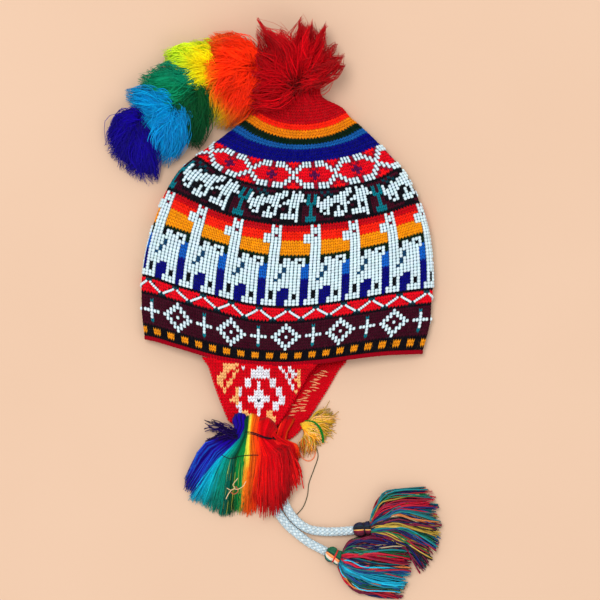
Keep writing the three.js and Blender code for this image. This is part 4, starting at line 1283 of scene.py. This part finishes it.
def fringe(name, top, waist, mid, ends, levels, count, seed, colour, thick=0.46, segments=9, clumps=30,
           loop_z=10.4, waist_z=11.0, puff=5.0, rough=1.0, low=0.3, cross=0.06, short=0.3):
    """Fringe yarn sewn to a flap's tip: from its loops over the edge, through the tie, spread to its cut ends.
    top, waist, mid and ends are plan lines across the bundle."""
    r = np.random.default_rng(seed)
    p = Piece(name)
    top, waist, mid, ends = (plan(np.array(x, float)) for x in (top, waist, mid, ends))
    cs = (np.arange(clumps) + r.uniform(0, 1, clumps)) / clumps
    r.shuffle(cs)
    cl = np.sqrt(r.uniform(0.02, 1, clumps))
    cf = np.where(r.uniform(0, 1, clumps) < short, r.uniform(0.66, 0.9, clumps), r.uniform(0.9, 1.03, clumps))
    ctone = np.exp(r.normal(0, 0.18, clumps))
    csway = r.uniform(0, 2 * PI, clumps)
    which = r.integers(0, clumps, count)
    s = np.clip(cs[which] + r.normal(0, 0.035, count), 0, 1)
    st = np.clip(s + r.normal(0, cross, count), 0, 1)
    lv = np.clip(cl[which] + r.normal(0, 0.07, count), 0.02, 1.0)
    fr = np.clip(cf[which] + r.normal(0, 0.05, count), 0.55, 1.08)
    a, b = polyline(top, s), polyline(waist, s)
    g, c = polyline(mid, st), polyline(ends, st)
    c = g + (c - g) * fr[:, None] + r.normal(0, 1.0 * rough, (count, 2))
    lo_z, hi_z = levels
    dome = np.sqrt(np.maximum(1 - (2 * s - 1) ** 2, 0.0))
    tau = np.linspace(0, 1, segments)
    keys = np.stack([
        np.c_[a, loop_z - 1.6 + 0.6 * lv],
        np.c_[a * 0.62 + b * 0.38, loop_z + 0.4 + puff * lv * (0.2 + 0.8 * dome)],
        np.c_[b, waist_z + 1.4 * (lv - 0.5)],
        np.c_[b * 0.45 + g * 0.55, (waist_z + 1.0) * 0.4 + 0.6 * (lo_z + (hi_z - lo_z) * lv)],
        np.c_[g, lo_z + (hi_z - lo_z) * lv * 0.96],
        np.c_[g * 0.45 + c * 0.55, lo_z + (hi_z - lo_z) * lv * 0.74],
        np.c_[c, lo_z + (hi_z - lo_z) * lv * 0.34 * r.uniform(0.4, 1, count)]], 1)
    path = np.stack([along(k, tau) for k in keys])
    path = path + r.normal(0, 0.26 * rough, path.shape) * smooth(0.4, 0.9, tau)[None, :, None]
    run = unit(c - b)
    wave = 1.45 * rough * np.sin(csway[which][:, None] + r.normal(0, 0.5, (count, 1)) + 5.5 * tau[None]) * smooth(0.35, 0.8, tau)[None]
    path[..., :2] += np.stack([-run[:, 1], run[:, 0]], -1)[:, None] * wave[..., None]
    path[..., 2] = np.maximum(path[..., 2], low)
    rad = thick * (0.8 + 0.4 * r.uniform(0, 1, (count, 1))) * (1 - 0.45 * smooth(0.75, 1, tau))[None]
    col = colour(np.repeat(s[:, None], segments, 1), np.broadcast_to(tau[None], (count, segments)), r)
    # painted shade: yarn lying lower in the bundle, under the others, is darker (0.8 to 1 by its level)
    col = col * (ctone[which] * np.exp(r.normal(0, 0.11, count)) * (0.8 + 0.2 * lv))[:, None, None]
    fold = 1 - 0.4 * (1 - dome)[:, None] * (1 - smooth(0.3, 0.5, tau))[None]     # painted shade in the creases between the loops
    strands(p, path, rad, col * fold[..., None])
    return p, r


def finish_fringe(p, slot, replaces):
    return p.build(TUFT, slot, replaces)


def thread(p, points, radius, colour, closed_z=None):
    """One loose thread through plan points with heights."""
    pts = np.array(points, float)
    path = np.c_[plan(pts[:, :2]), pts[:, 2]]
    m = max(16, 5 * len(pts))
    q = along(path, np.linspace(0, 1, m))
    strands(p, q[None], np.full((1, m), radius), np.tile(colour, (1, m, 1)), sides=5)


DARK_THREAD = lin(24, 16, 30)


def some(base, c, share, f, r, start=0.5):
    """A share of the yarn takes a second colour from start on."""
    k = (r.uniform(0, 1, (len(f), 1)) < share) * smooth(start, start + 0.15, f)
    return base + (c - base) * k[..., None]


p, r = fringe("near_fringe_indigo_yarn", [(232.5, 419), (235, 414), (240, 412), (246, 414)], [(234, 431), (244, 432.5)],
              [(203, 446), (208, 453), (219, 460)], [(186, 478), (187, 488), (192, 494), (200, 495)],
              (0.8, 15.0), 420, 201,
              lambda s, f, r: some(one_colour(lin(32, 0, 156), 0.6, lin(18, 0, 108))(s, f, r), lin(20, 74, 190), 0.30, f, r, 0.5),
              puff=7.0)
n = 64
tips = np.stack([r.uniform(204, 224, n), r.uniform(420, 452, n)], -1)
back = np.stack([r.uniform(228, 238, n), r.uniform(431, 440, n)], -1)
mid = (tips + back) / 2 + np.stack([r.normal(0, 2, n), r.normal(-3, 2, n)], -1)
keys = np.stack([np.c_[plan(back), r.uniform(11, 15, n)], np.c_[plan(mid), r.uniform(10, 18, n)], np.c_[plan(tips), r.uniform(2, 12, n)]], 1)
path = np.stack([along(k, np.linspace(0, 1, 7)) for k in keys]) + r.normal(0, 0.5, (n, 7, 3))
strands(p, path, np.full((n, 7), 0.46), np.tile(lin(26, 4, 78), (n, 7, 1)) * r.uniform(0.4, 1.4, (n, 1, 1)))
finish_fringe(p, "yarn_indigo", ["near_fringe_indigo"])

p, r = fringe("near_fringe_turquoise_yarn", [(244.5, 417), (246, 416)], [(243, 433.5), (245.5, 433.5)],
              [(211, 465), (222, 463), (233, 459)], [(190, 499), (202, 502), (213, 510), (226, 514)],
              (0.8, 16.5), 470, 202,
              lambda s, f, r: (blend([(0, lin(0, 184, 234)), (0.3, lin(0, 180, 200)), (0.6, lin(0, 172, 150)), (1.0, lin(0, 132, 100))], s) * smooth(0.3, 0.5, f)[..., None]
                               + lin(0, 74, 52) * (1 - smooth(0.3, 0.5, f))[..., None]))
thread(p, [(222, 455, 17.5), (230, 458.5, 18), (240, 456, 18.6), (250, 455, 19.6), (259, 455, 20.5)], 0.4, DARK_THREAD)
finish_fringe(p, "yarn_turquoise", ["near_fringe_turquoise"])

p, r = fringe("near_fringe_green_yarn", [(246, 416), (248.8, 415)], [(245, 433.5), (247.5, 433.5)],
              [(230, 460), (237, 461), (243, 461)], [(223, 512), (233, 513), (242, 511)],
              (0.8, 17.5), 330, 203,
              lambda s, f, r: some(blend([(0, lin(0, 100, 84)), (0.3, lin(0, 60, 36)), (0.55, lin(2, 110, 56)), (1, lin(14, 168, 74))], s) * smooth(0.3, 0.5, f)[..., None]
                                   + lin(0, 70, 44) * (1 - smooth(0.3, 0.5, f))[..., None], lin(184, 196, 70), 0.16, f, r, 0.66))
CREAM = lin(232, 196, 150)
thread(p, [(226, 499, 16), (229, 493, 18), (233, 489, 19.2), (238, 489, 19.8), (243, 486, 19.8), (246, 481, 19.5)], 0.42, CREAM)
thread(p, [(227, 488, 17.5), (231, 490, 19.6), (235, 487.5, 20.2), (233, 484.5, 19.6), (238, 478, 19.4)], 0.4, CREAM * 0.9)
thread(p, [(231, 492, 18.6), (234, 494, 18.6), (238, 491, 19.6), (236, 486, 19.8)], 0.4, lin(200, 90, 70))
finish_fringe(p, "yarn_green", ["near_fringe_green"])

p, r = fringe("near_fringe_yellow_yarn", [(248.8, 415), (252, 413), (256, 413.5), (260, 417)], [(247, 433), (256.5, 433.5)],
              [(244.5, 459), (252, 460), (259.5, 461)], [(240, 510), (247, 512), (254, 512)],
              (0.8, 18.5), 340, 204,
              lambda s, f, r: np.where((f < 0.72)[..., None], blend([(0, lin(214, 232, 70)), (0.24, lin(240, 226, 70)), (0.36, lin(255, 140, 14)), (0.6, lin(255, 96, 14)), (1.0, lin(255, 66, 12))], s),
                                        blend([(0, lin(150, 190, 60)), (0.1, lin(236, 170, 40)), (0.3, lin(255, 120, 20)), (1.0, lin(255, 66, 12))], s)))
finish_fringe(p, "yarn_yellow", ["near_fringe_yellow"])

p, r = fringe("near_fringe_red_yarn", [(256.5, 423), (262, 418.5), (268, 417.5), (274, 422), (278, 430)], [(257.5, 434), (264, 437.5), (271, 438.5)],
              [(258.5, 459), (268, 460), (281, 456), (291, 447)],
              [(252, 512), (262, 515), (273, 513), (281, 506), (290, 492), (299, 484)],
              (9.8, 24.0), 820, 205,
              lambda s, f, r: blend([(0, lin(250, 66, 10)), (0.12, lin(228, 14, 10)), (0.35, lin(188, 0, 12)), (0.8, lin(194, 0, 14)), (1, lin(230, 18, 18))], s),
              puff=8.0, waist_z=10.0)
for q in range(9):
    e = (r.uniform(293, 304), r.uniform(470, 490))
    thread(p, [(274, 440, 17), (284 + r.uniform(-2, 3), 450 + r.uniform(-2, 2), 19), ((284 + e[0]) / 2 + 4, 463 + r.uniform(-3, 3), 14), (e[0], e[1], 3.0)],
           0.5, lin(226, 22, 22) * r.uniform(0.7, 1.15))
# yarn that comes out of the knot to the right
for q in range(16):
    y = r.uniform(0, 1)
    thread(p, [(272 + r.uniform(0, 3), 432 + 4 * y, 12.5), (279 + r.uniform(0, 2), 437.5 + 5 * y, 13 + r.uniform(0, 2.5)), (289 + r.uniform(-1, 2), 444 + 7 * y, 14 + r.uniform(0, 2)),
               (295 + r.uniform(-2, 2), 455 + 9 * y, 11), (298 + r.uniform(-3, 3), 468 + 10 * y, 6)], 0.52, lin(206, 4, 14) * r.uniform(0.75, 1.15))
# the dark thread that binds the fringe
thread(p, [(240, 434.5, 10.5), (244, 432.8, 12.6), (250, 432.2, 13.2), (257, 434, 13.6), (264, 436.8, 14.0), (272, 438.4, 13.0)],
       0.5, DARK_THREAD)
thread(p, [(243, 434.6, 12.0), (252, 434, 13.0), (260, 436.6, 13.6), (268, 438.8, 13.6), (275, 438, 11.5)], 0.5, DARK_THREAD)
# a long loose end that lies on the table
thread(p, [(309, 434, 3), (313, 440, 2.2), (317, 450, 0.6), (318, 458, 0.5), (314, 470, 0.5), (309, 484, 0.5), (307.5, 496, 0.5), (303, 508, 0.5), (295, 517, 0.6)],
       0.42, lin(62, 70, 50))
finish_fringe(p, "yarn_red", ["near_fringe_red"])

p, r = fringe("far_fringe_red_yarn", [(281, 421), (285, 417), (290, 416), (295, 419)], [(275, 437), (285, 438)],
              [(277, 446), (288, 444), (297, 446)], [(281, 461), (290, 464), (298, 461)],
              (0.7, 12.5), 340, 206,
              lambda s, f, r: blend([(0, lin(250, 74, 30)), (0.22, lin(232, 24, 18)), (0.5, lin(208, 0, 14)), (0.85, lin(212, 4, 14)), (1, lin(244, 84, 20))], s),
              loop_z=4.6, waist_z=6.4, puff=5.0)
thread(p, [(299, 452, 2), (303, 459, 1), (309, 461.5, 0.6), (314, 458, 0.6), (315.5, 450, 0.8), (313, 444, 2)], 0.45, lin(238, 120, 70))
finish_fringe(p, "yarn_red", ["far_fringe_red"])

p, r = fringe("far_fringe_yellow_yarn", [(300, 424), (304, 432)], [(307, 421), (304, 434)],
              [(316, 416), (319, 424), (313, 434), (303, 441)], [(327, 409), (334, 416), (333, 428), (325, 441), (318, 447), (299, 455)],
              (0.7, 7.0), 260, 207,
              lambda s, f, r: some(some(blend([(0, lin(238, 190, 58)), (0.5, lin(226, 172, 40)), (0.75, lin(240, 156, 40)), (1, lin(248, 120, 36))], s),
                                        lin(190, 164, 44), 0.3, f, r, 0.2), lin(240, 190, 122), 0.3, f, r, 0.4),
              loop_z=4.4, waist_z=4.6, puff=1.5, rough=2.4)
for dx in (0.0, 0.7, 1.3):
    thread(p, [(305 + dx, 421, 5.5), (313 + dx, 422, 7.6), (319 + dx, 428, 7.8), (322 + dx, 436, 6.4), (322.5 + dx, 443, 3.0)], 0.6, lin(20, 116, 34))
finish_fringe(p, "yarn_yellow", ["far_fringe_yellow"])


# ------------------------------------------------------------------ cords, tassels

CORDS = {
    "near": [(263, 429.5), (262.8, 444), (263, 460), (264.3, 477), (268, 495), (276.6, 511), (286.4, 524.6), (296.4, 533.6), (308, 542.5), (318, 548), (326.5, 552.3)],
    "far": [(281, 441.5), (278.8, 458), (278, 476), (281, 493), (286.4, 507.5), (295.6, 520.6), (308, 529.2), (323, 532), (339, 532), (354, 530.8)],
}
HEADS = {"near": ((327.4, 552.8), (339.6, 558.6), 15.5), "far": ((355.0, 530.7), (369.6, 528.0), 14.0)}
SKIRTS = {     # the two sides of each skirt from the head to the cut ends, and how far the ends bulge
    "far": dict(a=[(370.8, 521.5), (375, 508), (391, 492.5), (430, 487)], b=[(371.5, 534.5), (387, 541), (406, 552), (423, 572)],
                bulge=14.5, high=18.5, seed=302,
                order="t g n t c c m c n b t t y o w k m n y y g g t b n m c g y k n m k n m".split()),
    "near": dict(a=[(343.8, 550), (352, 540.5), (375, 536.5), (406, 537.5)], b=[(338.2, 567.2), (345, 581), (362, 592.5), (401, 599)],
                 bulge=6.5, high=19.5, seed=301,
                 order="m m n n m n w g t g c c c m n k o c n b t q q q q q b t g w o c".split()),
}
MIX = {"t": lin(0, 128, 136), "n": lin(8, 14, 92), "c": lin(204, 4, 48), "m": lin(126, 0, 56), "g": lin(0, 104, 62), "y": lin(214, 178, 62),
       "b": lin(20, 70, 140), "o": lin(240, 140, 70), "k": lin(14, 12, 26), "q": lin(0, 168, 204), "w": lin(222, 200, 156)}

for side in ("near", "far"):
    path = np.array(CORDS[side], float)
    way = np.c_[plan(path), np.full(len(path), 4.45)]
    tt = np.linspace(0, 1, 2001)
    q = along(way, tt)
    d = np.r_[0, np.cumsum(np.linalg.norm(np.diff(q, axis=0), axis=1))]
    length = float(d[-1])
    m = 140
    place = np.linspace(0, length, m)
    line = np.stack([np.interp(place, d, q[:, k]) for k in range(3)], -1)
    tan = unit(np.gradient(line, axis=0))
    up = np.tile([0.0, 0, 1.0], (m, 1))
    out = unit(np.cross(tan, up))
    p = Piece("tie_cord_" + side + "_braid")
    lay, body, carriers = 27.0, 3.2, 6
    for turn in (1, -1):
        for k in range(carriers):
            th = turn * 2 * PI * place / lay + 2 * PI * k / carriers
            wave = np.cos(carriers * 2 * PI * place / lay) * 0.62 * turn
            rr = body + wave
            dirv = out * np.cos(th)[:, None] + up * np.sin(th)[:, None]
            c = line + dirv * rr[:, None]
            tg = unit(np.gradient(c, axis=0))
            sd = unit(np.cross(tg, dirv))
            ang = np.array([0.25, 0.75, 1.25, 1.75]) * PI
            ringp = c[:, None] + (sd[:, None] * (np.cos(ang) * 1.65)[None, :, None] + dirv[:, None] * (np.sin(ang) * 0.7)[None, :, None])
            v = ringp.reshape(-1, 3)
            f = grid_faces(m, 4, True)
            caps = np.array([[0, 2, 1], [0, 3, 2], [(m - 1) * 4, (m - 1) * 4 + 1, (m - 1) * 4 + 2], [(m - 1) * 4, (m - 1) * 4 + 2, (m - 1) * 4 + 3]])
            f = np.concatenate([f, caps])
            vol = np.einsum("ij,ij->i", v[f[:, 0]] - v.mean(0), np.cross(v[f[:, 1]] - v.mean(0), v[f[:, 2]] - v.mean(0))).sum()
            if vol < 0:
                f = f[:, ::-1]
            # painted shade: the carriers of one direction are bluish grey instead of white, and every carrier is darker
            # (0.58 to 1.04) where it dips under the others
            tone = (lin(220, 234, 238) if turn > 0 else lin(192, 213, 224)) * (1.0 + 0.05 * ((k * 3) % 4 - 1.5))
            col = np.repeat((tone[None] * (0.58 + 0.46 * (wave / 0.62 * 0.5 + 0.5))[:, None])[:, None], 4, 1).reshape(-1, 3)
            uv = np.stack(np.broadcast_arrays(np.linspace(0, 1, m)[:, None], np.linspace(0, 1, 4)[None]), -1).reshape(-1, 2)
            p.add(v, f, col, uv)
    ns = 10
    ang = 2 * PI * np.arange(ns) / ns
    tube = line[:, None] + 2.75 * (out[:, None] * np.cos(ang)[None, :, None] + up[:, None] * np.sin(ang)[None, :, None])
    v = np.concatenate([tube.reshape(-1, 3), line[:1], line[-1:]])
    f = grid_faces(m, ns, True)
    j = np.arange(ns)
    cap = [np.stack([np.full(ns, m * ns), j, (j + 1) % ns], -1), np.stack([np.full(ns, m * ns + 1), (m - 1) * ns + (j + 1) % ns, (m - 1) * ns + j], -1)]
    f = np.concatenate([f] + cap)
    vol = np.einsum("ij,ij->i", v[f[:, 0]] - v.mean(0), np.cross(v[f[:, 1]] - v.mean(0), v[f[:, 2]] - v.mean(0))).sum()
    if vol < 0:
        f = f[:, ::-1]
    uv = np.stack(np.broadcast_arrays(np.linspace(0, 1, m)[:, None], np.linspace(0, 1, ns)[None]), -1).reshape(-1, 2)
    # painted shade: the core under the carriers is a dark blue grey, so the gaps in the braid look shaded
    p.add(v, f, np.tile(lin(128, 146, 166), (len(v), 1)), np.r_[uv, [[0, 0.5], [1, 0.5]]])
    cord_obj = p.build(CORD, "cord_white", ["tie_cord_" + side])

    # the bound head: yarn folded over the cord's end and tied
    a, b, dia = HEADS[side]
    A, B = plan(a), plan(b)
    r = np.random.default_rng(310 if side == "near" else 311)
    rad = dia / 2
    axis = np.array([*(B - A), 0.0])
    L = np.linalg.norm(axis)
    X = axis / L
    S = np.cross([0, 0, 1.0], X)
    head = Piece("tassel_head_" + side + "_yarn")
    prof_x = np.array([-0.06, 0.0, 0.10, 0.25, 0.42, 0.55, 0.64, 0.74, 0.9, 1.06]) * L
    prof_r = np.array([0.42, 0.66, 0.86, 0.97, 0.98, 0.88, 0.74, 0.84, 0.92, 0.90]) * rad
    c0 = np.array([*A, rad + 0.3])
    nn = 30
    bands = ([lin(8, 92, 60), lin(8, 92, 60), lin(16, 60, 50), lin(250, 150, 84), lin(250, 150, 84), lin(240, 220, 200), lin(2, 130, 120), lin(10, 60, 60)]
             if side == "near" else
             [lin(10, 14, 52), lin(8, 40, 52), lin(14, 12, 30), lin(240, 176, 84), lin(122, 6, 46), lin(104, 2, 44), lin(90, 2, 40), lin(30, 6, 30)])
    ths = (np.arange(nn) + r.uniform(-0.2, 0.2, nn)) * 2 * PI / nn
    hp = np.stack([c0 + X * x + (S[None] * np.cos(ths + 0.05 * i)[:, None] + np.array([0, 0, 1.0])[None] * np.sin(ths + 0.05 * i)[:, None]) * (rr - 0.7)
                   for i, (x, rr) in enumerate(zip(prof_x, prof_r))], 1)
    span = (np.sin(ths) < -0.5)
    pick = np.clip(((1 - np.cos((ths - PI / 2) / 1.0)) / 2 * 8).astype(int), 0, 7)
    side_sign = np.cos(ths)
    pick = np.clip(((1 - side_sign) / 2 * 8).astype(int), 0, 7)
    if side == "far":
        pick = np.clip(((1 + side_sign) / 2 * 8).astype(int), 0, 7)
        pick = 7 - pick
    hc = np.array(bands)[pick] * np.exp(r.normal(0, 0.1, (nn, 1)))
    strands(head, hp, np.full((nn, len(prof_x)), 0.86), np.repeat(hc[:, None], len(prof_x), 1), sides=5)
    ring = np.stack([c0 + X * x + (S[None] * np.cos(np.arange(16) / 16 * 2 * PI)[:, None] + np.array([0, 0, 1.0])[None] * np.sin(np.arange(16) / 16 * 2 * PI)[:, None]) * max(rr - 1.0, 1.0)
                     for x, rr in zip(prof_x, prof_r)], 0)
    v = np.concatenate([ring.reshape(-1, 3), ring[0].mean(0)[None], ring[-1].mean(0)[None]])
    f = grid_faces(len(prof_x), 16, True)
    j = np.arange(16)
    k = len(prof_x) * 16
    f = np.concatenate([f, np.stack([np.full(16, k), j, (j + 1) % 16], -1), np.stack([np.full(16, k + 1), k - 16 + (j + 1) % 16, k - 16 + j], -1)])
    vol = np.einsum("ij,ij->i", v[f[:, 0]] - v.mean(0), np.cross(v[f[:, 1]] - v.mean(0), v[f[:, 2]] - v.mean(0))).sum()
    if vol < 0:
        f = f[:, ::-1]
    uv = np.stack(np.broadcast_arrays(np.linspace(0, 1, len(prof_x))[:, None], np.linspace(0, 1, 16)[None]), -1).reshape(-1, 2)
    # painted shade: the core under the wrapped yarn is near black, so the gaps between the strands look shaded
    head.add(v, f, np.tile(lin(20, 20, 34), (len(v), 1)), np.r_[uv, [[0, 0.5], [1, 0.5]]])
    tie_col = lin(214, 20, 30) if side == "near" else lin(16, 14, 30)
    tw = np.linspace(0, 3 * 2 * PI, 64)
    coil = c0 + X * (0.60 * L + 0.62 * (tw / (2 * PI) - 1.0))[:, None] + (S[None] * np.cos(tw)[:, None] + np.array([0, 0, 1.0])[None] * np.sin(tw)[:, None]) * (0.79 * rad + 0.15)
    strands(head, coil[None], np.full((1, 64), 0.42), np.tile(tie_col, (1, 64, 1)), sides=5)
    head_obj = head.build(SILK, "yarn_mixed", ["tassel_head_" + side])

    # the skirt: lengths of plied yarn in many colours, laid in colour groups
    spec = SKIRTS[side]
    r = np.random.default_rng(spec["seed"])
    skirt = Piece("tassel_skirt_" + side + "_yarn")
    sa, sb = plan(np.array(spec["a"], float)), plan(np.array(spec["b"], float))
    count, m = 400, 12
    order = spec["order"]
    layers = 3
    s = r.uniform(0, 1, count)
    layer = r.integers(0, layers, count)
    lv = np.clip((layer + 0.75 + r.normal(0, 0.16, count)) / layers, 0.03, 1)
    shift = np.array([0.0, 0.05, 0.12])[layers - 1 - layer]
    place_in = np.clip(s + r.normal(0, 0.012, count), 0, 0.999)
    cid = np.array([order[int((x + h) % 1.0 * len(order))] for x, h in zip(place_in, shift)])
    swap = r.uniform(0, 1, count) < 0.14
    cid = np.where(swap, r.choice(order, count), cid)
    # yarns of one colour draw together
    own = np.floor((s + shift) % 1.0 * len(order))
    centre_s = ((own + 0.5) / len(order) - shift) % 1.0
    near_s = np.abs(centre_s - s) < 0.2
    s_end = np.clip(np.where(near_s, 0.55 * s + 0.45 * centre_s, s) + r.normal(0, 0.02, count), 0, 1)
    tau = np.linspace(0, 1, m)
    pa, pb = along(sa, tau), along(sb, tau)
    ahead = unit(np.gradient((pa + pb) / 2, axis=0))
    wgt = (s[:, None] * (1 - tau[None]) + s_end[:, None] * tau[None])[..., None]
    c = 2 * wgt - 1
    xy = pa[None] * (1 - wgt) + pb[None] * wgt + ahead[None] * (spec["bulge"] * UNIT * tau[None, :, None] * (1 - c * c))
    # cut at different lengths
    end_f = (r.uniform(0.86, 1.02, count) - 0.06 * (r.uniform(0, 1, count) < 0.2))[:, None]
    idx = np.clip(tau[None] * end_f, 0, 1.02) * (m - 1)
    i0 = np.minimum(idx.astype(int), m - 2)
    fr_ = (idx - i0)[..., None]
    rows_ = np.arange(count)[:, None]
    xy = xy[rows_, i0] * (1 - fr_) + xy[rows_, i0 + 1] * fr_
    body_h = 0.62 + 0.38 * np.sin(PI * (0.2 + 0.6 * tau))
    round_ = np.sqrt(np.maximum(1 - (2 * s - 1) ** 2, 0.06))
    zz = 0.9 + lv[:, None] * spec["high"] * 0.92 * body_h[None] * (0.35 + 0.65 * round_[:, None]) * (1 - 0.45 * smooth(0.7, 1, tau))[None]
    z_head = c0[2] + (lv - 0.5) * 1.5 * rad
    zz = zz * smooth(0, 0.25, tau)[None] + z_head[:, None] * (1 - smooth(0, 0.25, tau))[None]
    pth = np.concatenate([xy, zz[..., None]], -1)
    ph = r.uniform(0, 2 * PI, (count, 1))
    grp = (own * 3 + layer * 7) % 11
    amp = (0.6 + 0.6 * np.sin(grp * 1.7)[:, None] ** 2) * 2.3 * smooth(0.2, 0.7, tau)[None]
    d2 = unit(pth[:, -1] - pth[:, 0])
    sway = np.cross(d2, [0, 0, 1.0])
    pth = pth + sway[:, None] * (amp * np.sin(grp[:, None] * 2.1 + tau[None] * (5 + grp[:, None] * 0.5)) + 1.0 * np.sin(ph + tau[None] * (9 + 5 * np.sin(ph * 3))))[..., None]
    radii = 0.9 * r.uniform(0.55, 1.15, (count, 1)) * (1 - 0.2 * smooth(0.85, 1, tau))[None]
    # painted shade: yarn in the lower layers of the skirt is darker (0.5 to 0.92 by its level)
    col = np.array([MIX[q] for q in cid]) * np.exp(r.normal(-0.14, 0.26, (count, 1))) * (0.5 + 0.42 * lv[:, None])
    col = np.repeat(col[:, None], m, 1) * (1 + 0.10 * np.sin(np.arange(m) * 2.4)[None, :, None])
    pth[..., 2] += 0.7 * np.sin(ph * 1.7 + tau[None] * 9) * smooth(0.15, 0.5, tau)[None]
    strands(skirt, pth, radii, col, sides=4)
    skirt_obj = skirt.build(SILK, "yarn_mixed", ["tassel_skirt_" + side])

total = 0
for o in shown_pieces():
    total += len(o.data.polygons)
    print("PIECE", o.name, len(o.data.polygons))
print("TRIANGLES", total)
lo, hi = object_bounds()
